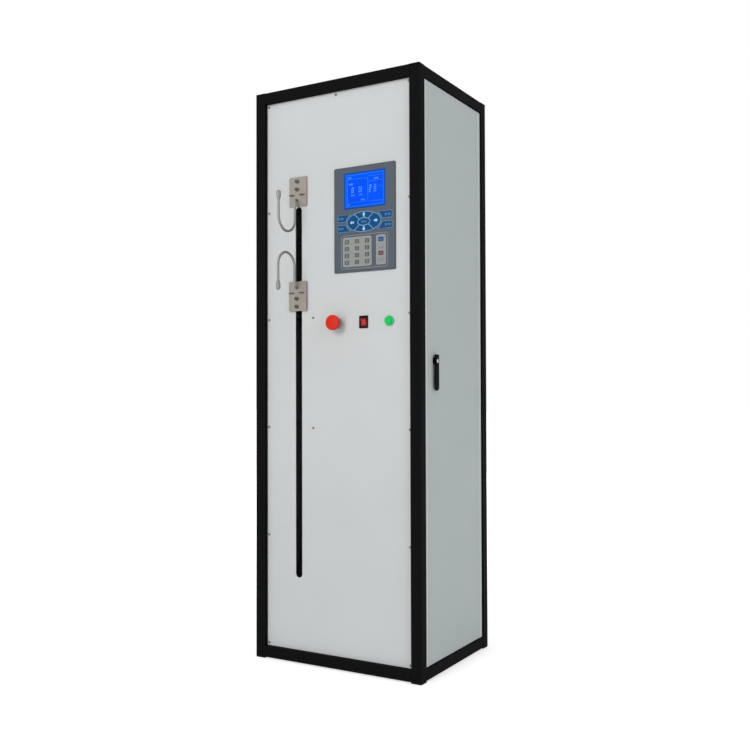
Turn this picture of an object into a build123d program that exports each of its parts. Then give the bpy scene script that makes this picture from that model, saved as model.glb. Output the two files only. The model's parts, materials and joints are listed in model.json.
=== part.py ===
from build123d import *
import os
from math import cos, radians, sin

os.makedirs("parts", exist_ok=True)

# Hosiery tensile tester: a free-standing cabinet with a fixed upper hook, and a lower hook that a
# screw drive pulls down a slot in the front panel. Sizes are in millimetres.
# X points right as seen from the front, Y points to the back and Z points up. The origin is on the
# floor, in the middle of the cabinet's footprint.

# Cabinet frame
width = 512.0
depth = 410.0
frame_height = 1550.0
pad_height = 3.0
pad_inset = 1.0
tube = 30.0
tube_wall = 2.0
tube_corner = 2.0
tube_play = 0.2
post_cap = 3.0
pad_plug = 10.0

# Sheet covers and the flat bars that they are screwed to
sheet = 2.0
sheet_gap = 0.6
front_recess = 12.5
cover_recess = 4.2
ledge_width = 18.0
ledge_thick = 3.0
base_sheet = 3.0
base_gap = 1.0

# Cover screws
screw_inset = 6.5
screw_edge = 8.0
front_screw_rows = 6
cover_screw_rows = 4
screw_shank_r = 1.9
screw_hole_r = 2.2
screw_head_r = 3.6
screw_head_height = 1.6
screw_length = 9.0
screw_play = 0.05
screw_head_taper = 35.0

# Angle bar behind the front panel
stiffener_offset = 47.0
stiffener_width = 20.0
stiffener_leg = 17.0
stiffener_gap = 2.0

# Slot and the two hooks
slot_side = 105.5
slot_width = 21.0
slot_bottom = 227.0
upper_plate_drop = 253.5
plate_spacing = 284.0
slot_top_drop = 41.5
slot_end_play = 2.0
plate_width = 57.0
plate_height = 80.0
plate_thick = 3.0
plate_corner = 3.0
plate_hole_r = 3.2
plate_screw_far = 28.0
plate_screw_near = 6.5
upper_plate_gap = 0.8
lower_plate_gap = 3.0
hook_line_shift = 2.5
rib_inner = 9.5
rib_length = 14.5
rib_thick = 1.6
rib_depth = 5.0
rib_drop = 9.0
hook_rod_r = 3.3
hook_hole_play = 0.02
hook_root_drop = 23.0
hook_standoff = 10.7
hook_elbow_r = 7.0
hook_bend_r = 37.0
hook_bend_drop = 113.5
hook_tip_drop = 10.0
hook_tip_r = 6.0
hook_tip_length = 25.0
hook_tip_taper = 7.0

# Plate screws
plate_screw_head_r = 5.0
plate_screw_head_height = 5.0
plate_screw_shank_r = 2.95
plate_screw_grip = 13.0
plate_socket_r = 2.3
plate_socket_depth = 2.6

# Arm and adapter that carry the plates, behind and through the front panel
arm_width = 14.0
arm_far = 36.0
arm_near = 12.0
window_play = 2.0
arm_flange_width = 42.0
arm_flange_height = 64.0
arm_flange = 8.0
arm_root_r = 4.0

# Screw drive
axis_setback = 34.0
spine_width = 124.0
spine_thick = 12.0
spine_back_y = -54.0
spine_top_gap = 8.0
spine_chamfer = 1.5
spine_foot_width = 100.0
spine_foot_leg = 60.0
travel_up = 40.0
cross_height = 20.0
rod_r = 8.0
rod_spacing = 76.0
rod_bottom = 183.0
rod_top_drop = 105.5
end_block_width = 112.0
end_block_height = 25.0
end_block_corner = 4.0
end_block_front = 12.0
block_play = 0.02
screw_r = 8.0
journal_r = 6.0
journal_length = 20.0
journal_clearance = 1.5
journal_end = 2.0
screw_shoulder_gap = 1.0
screw_chamfer = 0.8
running_play = 0.05
bearing_r = 14.0
bearing_width = 8.0
bearing_race = 2.2
bearing_seal = 0.8
carriage_width = 114.0
carriage_depth = 46.0
carriage_height = 80.0
carriage_corner = 5.0
carriage_relief = 16.0
bush_r = 14.0
bush_length = 34.0
bush_inset = 2.0
nut_r = 13.0
nut_length = 44.0
nut_flange_r = 20.5
nut_flange = 9.0

# Motor and coupling
motor_size = 57.0
motor_length = 76.0
motor_corner = 5.0
motor_cap = 12.0
motor_pilot_r = 19.05
motor_pilot = 1.6
motor_bolt_spacing = 47.1
motor_bolt_r = 2.5
motor_bolt_head_r = 4.2
motor_bolt_head = 5.0
motor_step = 2.0
motor_plug = 8.0
mount_lip = 2.0
motor_shaft_r = 4.0
motor_shaft_length = 30.0
motor_shaft_bury = 20.0
mount_thick = 8.0
mount_width = 70.0
mount_leg = 46.0
mount_wall = 5.0
coupling_r = 15.0
coupling_length = 36.0
coupling_slit = 1.2
coupling_slits = 4
coupling_slit_spread = 9.0
coupling_gap = 1.5

# Load cell
cell_length = 100.0
cell_width = 25.0
cell_height = 30.0
cell_bore_r = 9.0
cell_bore_spacing = 30.0
cell_neck = 5.0
cell_seat = 25.0
cell_rear_gap = 4.0
cell_pad = 1.0
cell_bracket_thick = 8.0
cell_bracket_width = 44.0
cell_bracket_drop = 58.0

# Control unit
unit_side_gap = 45.0
unit_top_gap = 207.0
unit_width = 185.0
unit_height = 277.0
unit_flange = 4.0
unit_corner = 4.0
unit_bevel = 1.0
unit_inset = 9.0
unit_depth = 62.0
unit_overlay = 0.5
unit_rim = 3.0
lcd_shift_x = 1.5
lcd_top_gap = 18.0
lcd_width = 122.0
lcd_height = 91.0
lcd_thick = 2.0
lcd_play = 0.3
lcd_border = 2.5
membrane_play = 0.1

# Row of buttons under the control unit
button_drop = 131.0
estop_offset = -84.0
rocker_offset = -3.7
start_offset = 73.0
barrel_r = 11.0
barrel_depth = 22.0
panel_hole_play = 0.25
estop_collar_r = 15.0
estop_collar = 8.0
collar_edge = 1.0
stem_edge = 0.6
estop_head_r = 20.0
estop_head_front = 31.0
estop_rim = 9.0
estop_neck_r = 10.5
estop_neck_front = 13.0
estop_dome = 2.0
neck_flare = 2.0
estop_stem_r = 5.0
estop_stem_end = 17.5
estop_stem_grip = 8.0
start_bezel_r = 13.0
start_bezel = 5.5
start_cap_r = 10.0
start_cap_front = 9.0
start_cap_back = 3.6
start_well = 0.2
start_cap_dish = 0.8
start_cap_play = 0.4
start_rim = 2.6
start_stem_r = 4.0
contact_width = 30.0
contact_height = 38.0
contact_depth = 24.0
rocker_bezel_width = 26.0
rocker_bezel_height = 32.5
rocker_bezel = 2.2
rocker_corner = 1.5
rocker_body_width = 21.0
rocker_body_height = 27.0
rocker_body_depth = 20.0
rocker_width = 17.0
rocker_height = 22.0
rocker_play = 1.0
rocker_side_play = 0.6
rocker_pin_r = 1.5
rocker_pin_grip = 1.1
rocker_pivot = 2.0
rocker_valley = 1.2
rocker_tilt = 10.0
rocker_proud = 2.6
rocker_well = 12.0
rocker_keel = 8.0
rocker_waist = 5.0
terminal_width = 6.3
terminal_length = 8.0
terminal_thick = 0.8

# Door on the right-hand side, hung on two pivot pins
door_gap = 2.0
door_sheet = 1.5
door_pan = 14.0
pivot_inset = 7.0
pivot_depth = 5.0
pivot_pin_r = 3.0
pivot_pin_length = 14.0
pivot_collar_r = 4.6
pivot_collar_play = 0.3
pivot_block = 11.0
pivot_play = 0.06
door_stop_thick = 3.0
door_stop_gap = 0.5
door_stop_end = 25.0

# Door lock
lock_y = -119.4
lock_z = 805.0
lever_width = 20.0
lever_top = 17.0
lever_bottom = 76.0
lever_thick = 4.0
lever_standoff = 5.5
lever_edge = 1.2
lever_corner = 2.5
rosette_r = 9.5
rosette_gap = 0.4
spindle_r = 6.0
spindle_tail = 5.0
lock_hole_play = 0.1
cam_gap = 0.5
key_r = 5.0
key_depth = 8.0
key_proud = 0.6
key_slot_width = 1.4
key_slot_length = 6.5
key_slot_depth = 5.0
cam_width = 20.0
cam_length = 50.0
cam_thick = 3.0
cam_play = 0.02

# Electrical parts behind the door
supply_width = 115.0
supply_depth = 50.0
supply_height = 215.0
supply_x = 95.0
supply_y = 110.0
supply_slots = 8
supply_slot_length = 36.0
supply_slot_width = 3.0
supply_slot_pitch = 14.0
supply_slot_depth = 1.5
driver_width = 76.0
driver_depth = 34.0
driver_height = 118.0
driver_y = 10.0
driver_fins = 7
driver_fin_pitch = 10.0
driver_fin_depth = 12.0
sensor_width = 12.0
sensor_depth = 18.0
sensor_height = 28.0
sensor_slot = 5.0
sensor_slot_depth = 10.0
flag_thick = 2.0
flag_height = 24.0
flag_reach = 2.0

# Rear panel vents and mains inlet
vent_columns = 2
vent_rows = 6
vent_length = 70.0
vent_width = 5.0
vent_pitch_x = 100.0
vent_pitch_z = 16.0
vent_drop = 193.0
inlet_x = 95.0
inlet_z = 110.0
inlet_flange_width = 58.0
inlet_flange_height = 48.0
inlet_flange = 2.5
inlet_body_width = 48.0
inlet_body_height = 28.0
inlet_body_depth = 22.0
inlet_mouth_width = 27.0
inlet_mouth_height = 19.5
inlet_mouth_depth = 17.0
inlet_chamfer = 4.5
inlet_pin_width = 2.0
inlet_pin_height = 4.0
inlet_pin_length = 10.0
inlet_pin_spread = 7.0
inlet_pin_rise = 2.0

# Planes that the rest is placed by
x_side = width / 2
y_side = depth / 2
x_open = x_side - tube
y_open = y_side - tube
frame_bottom = pad_height
frame_top = pad_height + frame_height
z_open_low = frame_bottom + tube
z_open_high = frame_top - tube
z_middle = (frame_bottom + frame_top) / 2
open_height = z_open_high - z_open_low
front_y = -y_side + front_recess
front_inner_y = front_y + sheet
front_ledge_y = front_inner_y + ledge_thick
door_x = x_side - cover_recess
left_x = -x_side + cover_recess
rear_y = y_side - cover_recess
top_z = frame_top - cover_recess
base_top = z_open_low + base_sheet
spine_front_y = spine_back_y - spine_thick
axis_y = spine_front_y - axis_setback
slot_x = -x_open + slot_side
hook_x = slot_x - hook_line_shift
unit_x = x_open - unit_side_gap - unit_width / 2
unit_z = z_open_high - unit_top_gap - unit_height / 2
button_z = unit_z - unit_height / 2 - button_drop
estop_x = unit_x + estop_offset
rocker_x = unit_x + rocker_offset
start_x = unit_x + start_offset
upper_plate_z = z_open_high - upper_plate_drop
lower_plate_z = upper_plate_z - plate_spacing
slot_top = upper_plate_z - slot_top_drop
drive_span = upper_plate_z - rod_top_drop - rod_bottom
travel_down = lower_plate_z - arm_far - slot_bottom - slot_width / 2 - slot_end_play
vent_z = z_open_high - vent_drop
stiffener_room = estop_x - contact_width / 2 - stiffener_gap - stiffener_width / 2
stiffener_x = min(slot_x + stiffener_offset, stiffener_room)
unit_body_width = unit_width - 2 * unit_inset
unit_body_height = unit_height - 2 * unit_inset
door_stop_x = door_x - door_pan - door_stop_gap - door_stop_thick
spindle_reach = door_x - door_stop_x + cam_gap + cam_thick + spindle_tail


def span(x, y, z, mode=Mode.ADD):
    """A box between a low and a high limit in X, Y and Z."""
    with Locations(((x[0] + x[1]) / 2, (y[0] + y[1]) / 2, (z[0] + z[1]) / 2)):
        Box(x[1] - x[0], y[1] - y[0], z[1] - z[0], mode=mode)


def front_plane(proud=0.0):
    """The front panel's face, moved out by a distance; sketch axes are X and Z."""
    return Plane(origin=(0, front_y - proud, 0), x_dir=(1, 0, 0), z_dir=(0, -1, 0))


def door_plane(proud=0.0):
    """The door's outer face, moved out by a distance; sketch axes are Y and Z."""
    return Plane(origin=(door_x + proud, 0, 0), x_dir=(0, 1, 0), z_dir=(1, 0, 0))


def left_plane(proud=0.0):
    """The left cover's outer face, moved out; sketch axes are -Y and Z."""
    return Plane(origin=(left_x - proud, 0, 0), x_dir=(0, -1, 0), z_dir=(-1, 0, 0))


def rear_plane(proud=0.0):
    """The rear cover's outer face, moved out; sketch axes are -X and Z."""
    return Plane(origin=(0, rear_y + proud, 0), x_dir=(-1, 0, 0), z_dir=(0, 1, 0))


def top_plane(proud=0.0):
    """The top cover's outer face, moved up; sketch axes are X and Y."""
    return Plane.XY.offset(top_z + proud)


def even_steps(low, high, count):
    """Evenly spaced values from low to high, both included."""
    return [low + (high - low) * i / (count - 1) for i in range(count)]


front_rows = even_steps(z_open_low + screw_edge, z_open_high - screw_edge, front_screw_rows)
front_screw_x = x_open - screw_inset
front_screws_at = [(x, z) for z in front_rows for x in (-front_screw_x, front_screw_x)]
stiffener_rows = front_rows[2:4]
front_screws_at += [(0, front_rows[-1])] + [(stiffener_x, z) for z in stiffener_rows]
cover_rows = even_steps(z_open_low + screw_edge, z_open_high - screw_edge, cover_screw_rows)
left_screw_y = y_open - screw_inset
left_screws_at = [(y, z) for z in cover_rows for y in (-left_screw_y, left_screw_y)]
rear_screws_at = [(x, z) for z in cover_rows for x in (-front_screw_x, front_screw_x)]
top_screws_at = [(x, y) for x in (-front_screw_x, front_screw_x) for y in (-left_screw_y, left_screw_y)]


# Welded frame


def square_tube(plane, length, cap=0.0):
    """A square tube along the plane's normal, open at both ends or closed at the far one."""
    with BuildPart() as piece:
        with BuildSketch(plane):
            RectangleRounded(tube, tube, tube_corner)
        extrude(amount=length)
        with BuildSketch(plane):
            Rectangle(tube - 2 * tube_wall, tube - 2 * tube_wall)
        extrude(amount=length - cap, mode=Mode.SUBTRACT)
    return piece.part


tube_xs = (-x_side + tube / 2, x_side - tube / 2)
tube_ys = (-y_side + tube / 2, y_side - tube / 2)
post_centres = [(x, y) for x in tube_xs for y in tube_ys]
posts = [square_tube(Plane(origin=(x, y, frame_bottom)), frame_height, post_cap) for x, y in post_centres]
corner_posts = Compound(children=posts)
corner_posts.label = "corner_posts"
export_step(corner_posts, "parts/corner_posts.step")


def rail_ring(z):
    """Four tubes between the posts at one height."""
    rails = []
    for y in tube_ys:
        end = Plane(origin=(-x_open, y, z), x_dir=(0, 1, 0), z_dir=(1, 0, 0))
        rails.append(square_tube(end, 2 * x_open))
    for x in tube_xs:
        end = Plane(origin=(x, -y_open, z), x_dir=(1, 0, 0), z_dir=(0, 1, 0))
        rails.append(square_tube(end, 2 * y_open))
    return rails


bottom_rails = Compound(children=rail_ring(frame_bottom + tube / 2))
bottom_rails.label = "bottom_rails"
export_step(bottom_rails, "parts/bottom_rails.step")

# A lower tube across the top holds the upper end of the drive's column
with BuildPart() as cross_member:
    cross_z = z_open_high + cross_height / 2
    cross_y = spine_back_y + tube / 2
    cross_end = Plane(origin=(-x_side + tube, cross_y, cross_z), x_dir=(0, 1, 0), z_dir=(1, 0, 0))
    with BuildSketch(cross_end):
        RectangleRounded(tube, cross_height, tube_corner)
        Rectangle(tube - 2 * tube_wall, cross_height - 2 * tube_wall, mode=Mode.SUBTRACT)
    extrude(amount=2 * x_open)

top_rails = Compound(children=rail_ring(frame_top - tube / 2) + [cross_member.part])
top_rails.label = "top_rails"
export_step(top_rails, "parts/top_rails.step")

with BuildPart() as foot_pads:
    with BuildSketch(Plane.XY):
        with Locations(*post_centres):
            Rectangle(tube - pad_inset, tube - pad_inset)
    extrude(amount=pad_height)
    plug = tube - 2 * tube_wall - 2 * tube_play
    with BuildSketch(Plane.XY.offset(pad_height)):
        with Locations(*post_centres):
            Rectangle(plug, plug)
    extrude(amount=pad_plug)
foot_pads.part.label = "foot_pads"
export_step(foot_pads.part, "parts/foot_pads.step")


def ledge_frame(plane, open_width, open_height_, holes):
    """Four flat bars around an opening, behind its cover, with the cover's screw holes."""
    bars = []
    for side in (-1, 1):
        with BuildPart() as upright:
            with BuildSketch(plane):
                with Locations((side * (open_width - ledge_width) / 2, z_local(plane))):
                    Rectangle(ledge_width, open_height_)
            extrude(amount=-ledge_thick)
            with BuildSketch(plane):
                with Locations(*holes):
                    Circle(screw_shank_r + screw_play)
            extrude(amount=-ledge_thick, mode=Mode.SUBTRACT)
        bars.append(upright.part)
    for side in (-1, 1):
        with BuildPart() as level:
            middle = z_local(plane) + side * (open_height_ - ledge_width) / 2
            with BuildSketch(plane):
                with Locations((0, middle)):
                    Rectangle(open_width - 2 * ledge_width, ledge_width)
            extrude(amount=-ledge_thick)
            with BuildSketch(plane):
                with Locations(*holes):
                    Circle(screw_shank_r + screw_play)
            extrude(amount=-ledge_thick, mode=Mode.SUBTRACT)
        bars.append(level.part)
    return bars


def z_local(plane):
    """Where the middle of an opening lies on its plane's second axis."""
    return 0.0 if abs(plane.z_dir.Z) > 0.5 else z_middle


front_ledge_plane = Plane(origin=(0, front_inner_y, 0), x_dir=(1, 0, 0), z_dir=(0, -1, 0))
left_ledge_plane = left_plane(-sheet)
rear_ledge_plane = rear_plane(-sheet)
top_ledge_plane = top_plane(-sheet)
mirrored_rear = [(-x, z) for x, z in rear_screws_at]

# Three flat bars behind the door stop it and take the lock's cam
with BuildPart() as door_stops:
    stop_plane = Plane(origin=(door_stop_x, 0, 0), x_dir=(0, 1, 0), z_dir=(1, 0, 0))
    level_front = -y_open + ledge_width + base_gap
    level_back = y_open - door_stop_end
    level_middle = (level_front + level_back) / 2
    with BuildSketch(stop_plane):
        with Locations((-y_open + ledge_width / 2, z_middle)):
            Rectangle(ledge_width, open_height)
        with Locations(
            (level_middle, z_open_low + ledge_width / 2),
            (level_middle, z_open_high - ledge_width / 2),
        ):
            Rectangle(level_back - level_front, ledge_width)
    extrude(amount=door_stop_thick)

panel_ledges = Compound(
    children=ledge_frame(front_ledge_plane, 2 * x_open, open_height, front_screws_at)
    + ledge_frame(left_ledge_plane, 2 * y_open, open_height, left_screws_at)
    + ledge_frame(rear_ledge_plane, 2 * x_open, open_height, mirrored_rear)
    + ledge_frame(top_ledge_plane, 2 * x_open, 2 * y_open, top_screws_at)
    + list(door_stops.solids())
)
panel_ledges.label = "panel_ledges"
export_step(panel_ledges, "parts/panel_ledges.step")

# Angle bar behind the front panel, to the right of the slot
with BuildPart() as panel_stiffener:
    stiffener_low = z_open_low + ledge_width
    with BuildSketch(Plane.XY.offset(stiffener_low)):
        with Locations((stiffener_x, front_inner_y + ledge_thick / 2)):
            Rectangle(stiffener_width, ledge_thick)
        leg_x = stiffener_x + (stiffener_width - ledge_thick) / 2
        with Locations((leg_x, front_inner_y + stiffener_leg / 2)):
            Rectangle(ledge_thick, stiffener_leg)
    extrude(amount=open_height - 2 * ledge_width)
    with BuildSketch(front_ledge_plane):
        with Locations(*[(stiffener_x, z) for z in stiffener_rows]):
            Circle(screw_shank_r + screw_play)
    extrude(amount=-ledge_thick, mode=Mode.SUBTRACT)
panel_stiffener.part.label = "panel_stiffener"
export_step(panel_stiffener.part, "parts/panel_stiffener.step")


# Covers

with BuildPart() as front_panel:
    with BuildSketch(front_plane()):
        with Locations((0, z_middle)):
            Rectangle(2 * (x_open - sheet_gap), open_height - 2 * sheet_gap)
        with Locations((slot_x, (slot_bottom + slot_top) / 2)):
            SlotOverall(slot_top - slot_bottom, slot_width, rotation=90, mode=Mode.SUBTRACT)
        with Locations((slot_x, upper_plate_z + (arm_far - arm_near) / 2)):
            Rectangle(arm_width + 2 * window_play, arm_far + arm_near + 2 * window_play, mode=Mode.SUBTRACT)
        with Locations((unit_x, unit_z)):
            Rectangle(unit_body_width + sheet_gap, unit_body_height + sheet_gap, mode=Mode.SUBTRACT)
        with Locations((estop_x, button_z), (start_x, button_z)):
            Circle(barrel_r + panel_hole_play, mode=Mode.SUBTRACT)
        with Locations((rocker_x, button_z)):
            Rectangle(rocker_body_width + sheet_gap, rocker_body_height + sheet_gap, mode=Mode.SUBTRACT)
        with Locations(*front_screws_at):
            Circle(screw_hole_r, mode=Mode.SUBTRACT)
    extrude(amount=-sheet)
front_panel.part.label = "front_panel"
export_step(front_panel.part, "parts/front_panel.step")

with BuildPart() as left_panel:
    with BuildSketch(left_plane()):
        with Locations((0, z_middle)):
            Rectangle(2 * (y_open - sheet_gap), open_height - 2 * sheet_gap)
        with Locations(*left_screws_at):
            Circle(screw_hole_r, mode=Mode.SUBTRACT)
    extrude(amount=-sheet)
left_panel.part.label = "left_panel"
export_step(left_panel.part, "parts/left_panel.step")

with BuildPart() as rear_panel:
    with BuildSketch(rear_plane()):
        with Locations((0, z_middle)):
            Rectangle(2 * (x_open - sheet_gap), open_height - 2 * sheet_gap)
        with Locations(*mirrored_rear):
            Circle(screw_hole_r, mode=Mode.SUBTRACT)
        with Locations((0, vent_z)):
            with GridLocations(vent_pitch_x, vent_pitch_z, vent_columns, vent_rows):
                SlotOverall(vent_length, vent_width, mode=Mode.SUBTRACT)
        with Locations((-inlet_x, inlet_z)):
            Rectangle(inlet_body_width + sheet_gap, inlet_body_height + sheet_gap, mode=Mode.SUBTRACT)
    extrude(amount=-sheet)
rear_panel.part.label = "rear_panel"
export_step(rear_panel.part, "parts/rear_panel.step")

with BuildPart() as top_panel:
    with BuildSketch(top_plane()):
        Rectangle(2 * (x_open - sheet_gap), 2 * (y_open - sheet_gap))
        with Locations(*top_screws_at):
            Circle(screw_hole_r, mode=Mode.SUBTRACT)
    extrude(amount=-sheet)
top_panel.part.label = "top_panel"
export_step(top_panel.part, "parts/top_panel.step")

# The base plate rests on the bottom rails, between the ledges, notched around the posts
with BuildPart() as base_plate:
    base_front = front_ledge_y + base_gap
    base_back = rear_y - sheet - ledge_thick - base_gap
    base_left = left_x + sheet + ledge_thick + base_gap
    base_right = door_stop_x - base_gap
    with BuildSketch(Plane.XY.offset(z_open_low)):
        with Locations((0, (base_front + base_back) / 2)):
            Rectangle(2 * (x_open - base_gap), base_back - base_front)
        with Locations(((base_left + base_right) / 2, 0)):
            Rectangle(base_right - base_left, 2 * (y_open - base_gap))
    extrude(amount=base_sheet)
base_plate.part.label = "base_plate"
export_step(base_plate.part, "parts/base_plate.step")


def pan_screws(plane, places):
    """Pan-head screws whose heads sit on a cover's face."""
    with BuildPart() as screws:
        with BuildSketch(plane):
            with Locations(*places):
                Circle(screw_head_r)
        extrude(amount=screw_head_height, taper=screw_head_taper)
        with BuildSketch(plane):
            with Locations(*places):
                Circle(screw_shank_r)
        extrude(amount=-screw_length)
    return screws.part


front_panel_screws = pan_screws(front_plane(), front_screws_at)
front_panel_screws.label = "front_panel_screws"
export_step(front_panel_screws, "parts/front_panel_screws.step")

cover_screws = Compound(children=[
    pan_screws(left_plane(), left_screws_at),
    pan_screws(rear_plane(), mirrored_rear),
    pan_screws(top_plane(), top_screws_at),
])
cover_screws.label = "cover_screws"
export_step(cover_screws, "parts/cover_screws.step")


# Column that carries the drive and the load cell

with BuildPart() as spine_plate:
    spine_top = cross_z + cross_height / 2 - spine_top_gap
    with BuildSketch(Plane.XY.offset(base_top)):
        with Locations((slot_x, spine_back_y - spine_thick / 2)):
            Rectangle(spine_width, spine_thick)
    extrude(amount=spine_top - base_top)
    chamfer(spine_plate.edges().filter_by(Axis.Z), length=spine_chamfer)
spine_plate.part.label = "spine_plate"
export_step(spine_plate.part, "parts/spine_plate.step")

with BuildPart() as spine_foot:
    with BuildSketch(Plane(origin=(slot_x - spine_foot_width / 2, 0, 0), x_dir=(0, 1, 0), z_dir=(1, 0, 0))):
        with BuildLine():
            Polyline(
                (spine_back_y, base_top),
                (spine_back_y + spine_foot_leg, base_top),
                (spine_back_y + spine_foot_leg, base_top + mount_thick),
                (spine_back_y + mount_thick, base_top + mount_thick),
                (spine_back_y + mount_thick, base_top + spine_foot_leg),
                (spine_back_y, base_top + spine_foot_leg),
                close=True,
            )
        make_face()
    extrude(amount=spine_foot_width)
    inner_edge = spine_foot.edges().filter_by(Axis.X).sort_by_distance(
        (slot_x, spine_back_y + mount_thick, base_top + mount_thick))[0]
    fillet(inner_edge, radius=mount_thick / 2)
spine_foot.part.label = "spine_foot"
export_step(spine_foot.part, "parts/spine_foot.step")


def end_block(low, bearing_low):
    """A block across the spine that holds both rods and one end of the screw."""
    with BuildPart() as block:
        block_front = axis_y - rod_r - end_block_front
        with BuildSketch(Plane.XY.offset(low)):
            with Locations((slot_x, (spine_front_y + block_front) / 2)):
                Rectangle(end_block_width, spine_front_y - block_front)
        extrude(amount=end_block_height)
        front_edges = block.edges().filter_by(Axis.Z).group_by(Axis.Y)[0]
        chamfer(front_edges, length=end_block_corner)
        with BuildSketch(Plane.XY.offset(low)):
            with Locations((slot_x - rod_spacing / 2, axis_y), (slot_x + rod_spacing / 2, axis_y)):
                Circle(rod_r + block_play)
            with Locations((slot_x, axis_y)):
                Circle(journal_r + journal_clearance)
        extrude(amount=end_block_height, mode=Mode.SUBTRACT)
        with BuildSketch(Plane.XY.offset(bearing_low)):
            with Locations((slot_x, axis_y)):
                Circle(bearing_r + block_play)
        extrude(amount=bearing_width, mode=Mode.SUBTRACT)
    return block.part


lower_block_low = rod_bottom
upper_block_low = rod_bottom + drive_span - end_block_height
lower_bearing_low = lower_block_low
upper_bearing_low = upper_block_low + end_block_height - bearing_width

end_blocks = Compound(children=[
    end_block(lower_block_low, lower_bearing_low),
    end_block(upper_block_low, upper_bearing_low),
])
end_blocks.label = "end_blocks"
export_step(end_blocks, "parts/end_blocks.step")

with BuildPart() as guide_rods:
    with BuildSketch(Plane.XY.offset(rod_bottom)):
        with Locations((slot_x - rod_spacing / 2, axis_y), (slot_x + rod_spacing / 2, axis_y)):
            Circle(rod_r)
    extrude(amount=drive_span)
guide_rods.part.label = "guide_rods"
export_step(guide_rods.part, "parts/guide_rods.step")


def ball_bearing(low):
    """A sealed ball bearing as one ring, with its two races proud of the upper seal."""
    with BuildPart() as bearing:
        bore_r = journal_r + running_play
        with BuildSketch(Plane(origin=(slot_x, axis_y, low), x_dir=(1, 0, 0), z_dir=(0, -1, 0))):
            with Locations(((bore_r + bearing_r) / 2, bearing_width / 2)):
                Rectangle(bearing_r - bore_r, bearing_width)
            with Locations(((bore_r + bearing_r) / 2, bearing_width)):
                Rectangle(bearing_r - bore_r - 2 * bearing_race, bearing_seal, mode=Mode.SUBTRACT)
        revolve(axis=Axis((slot_x, axis_y, 0), (0, 0, 1)))
    return bearing.part


screw_bearings = Compound(children=[ball_bearing(lower_bearing_low), ball_bearing(upper_bearing_low)])
screw_bearings.label = "screw_bearings"
export_step(screw_bearings, "parts/screw_bearings.step")


# Lead screw, coupling and motor

screw_low = lower_block_low + end_block_height + screw_shoulder_gap
screw_high = upper_block_low - screw_shoulder_gap
screw_end = upper_block_low + end_block_height + journal_end
journal_low = lower_block_low - journal_length
shaft_top = journal_low - coupling_gap
motor_face = shaft_top - motor_shaft_length
coupling_low = journal_low - coupling_gap / 2 - coupling_length / 2

with BuildPart() as lead_screw:
    with BuildSketch(Plane(origin=(slot_x, axis_y, 0), x_dir=(1, 0, 0), z_dir=(0, -1, 0))):
        with BuildLine():
            Polyline(
                (0, journal_low), (journal_r - screw_chamfer, journal_low),
                (journal_r, journal_low + screw_chamfer), (journal_r, screw_low),
                (screw_r - screw_chamfer, screw_low), (screw_r, screw_low + screw_chamfer),
                (screw_r, screw_high - screw_chamfer), (screw_r - screw_chamfer, screw_high),
                (journal_r, screw_high), (journal_r, screw_end - screw_chamfer),
                (journal_r - screw_chamfer, screw_end), (0, screw_end),
                close=True,
            )
        make_face()
    revolve(axis=Axis((slot_x, axis_y, 0), (0, 0, 1)))
lead_screw.part.label = "lead_screw"
export_step(lead_screw.part, "parts/lead_screw.step")

with BuildPart() as shaft_coupling:
    with BuildSketch(Plane.XY.offset(coupling_low)):
        with Locations((slot_x, axis_y)):
            Circle(coupling_r)
            Circle(motor_shaft_r + block_play, mode=Mode.SUBTRACT)
    extrude(amount=coupling_length)
    with BuildSketch(Plane.XY.offset(shaft_top + coupling_gap / 2)):
        with Locations((slot_x, axis_y)):
            Circle(journal_r + block_play)
    extrude(amount=coupling_length, mode=Mode.SUBTRACT)
    for turn, level in enumerate(even_steps(-coupling_slit_spread, coupling_slit_spread, coupling_slits)):
        side = 1 if turn % 2 else -1
        with Locations((slot_x + side * coupling_r / 3, axis_y, coupling_low + coupling_length / 2 + level)):
            Box(2 * coupling_r, 2 * coupling_r, coupling_slit, mode=Mode.SUBTRACT)
shaft_coupling.part.label = "shaft_coupling"
export_step(shaft_coupling.part, "parts/shaft_coupling.step")

with BuildPart() as motor_shaft:
    with BuildSketch(Plane.XY.offset(motor_face - motor_shaft_bury)):
        with Locations((slot_x, axis_y)):
            Circle(motor_shaft_r)
    extrude(amount=motor_shaft_bury + motor_shaft_length)
motor_shaft.part.label = "motor_shaft"
export_step(motor_shaft.part, "parts/motor_shaft.step")

with BuildPart() as drive_motor:
    motor_low = motor_face - motor_length
    for low, size, length in (
        (motor_low, motor_size, motor_cap),
        (motor_low + motor_cap, motor_size - motor_step, motor_length - 2 * motor_cap),
        (motor_face - motor_cap, motor_size, motor_cap),
    ):
        with BuildSketch(Plane.XY.offset(low)):
            with Locations((slot_x, axis_y)):
                RectangleRounded(size, size, motor_corner)
        extrude(amount=length)
    with BuildSketch(Plane.XY.offset(motor_face)):
        with Locations((slot_x, axis_y)):
            Circle(motor_pilot_r)
    extrude(amount=motor_pilot)
    plug_front = axis_y - motor_size / 2
    with Locations((slot_x, plug_front - motor_plug / 2, motor_low + motor_cap / 2)):
        Box(2 * motor_plug, motor_plug, motor_cap - motor_step)
    with BuildSketch(Plane.XY.offset(motor_face + motor_pilot)):
        with Locations((slot_x, axis_y)):
            Circle(motor_shaft_r + running_play)
    extrude(amount=-(motor_pilot + motor_shaft_bury + coupling_gap), mode=Mode.SUBTRACT)
drive_motor.part.label = "drive_motor"
export_step(drive_motor.part, "parts/drive_motor.step")

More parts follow.
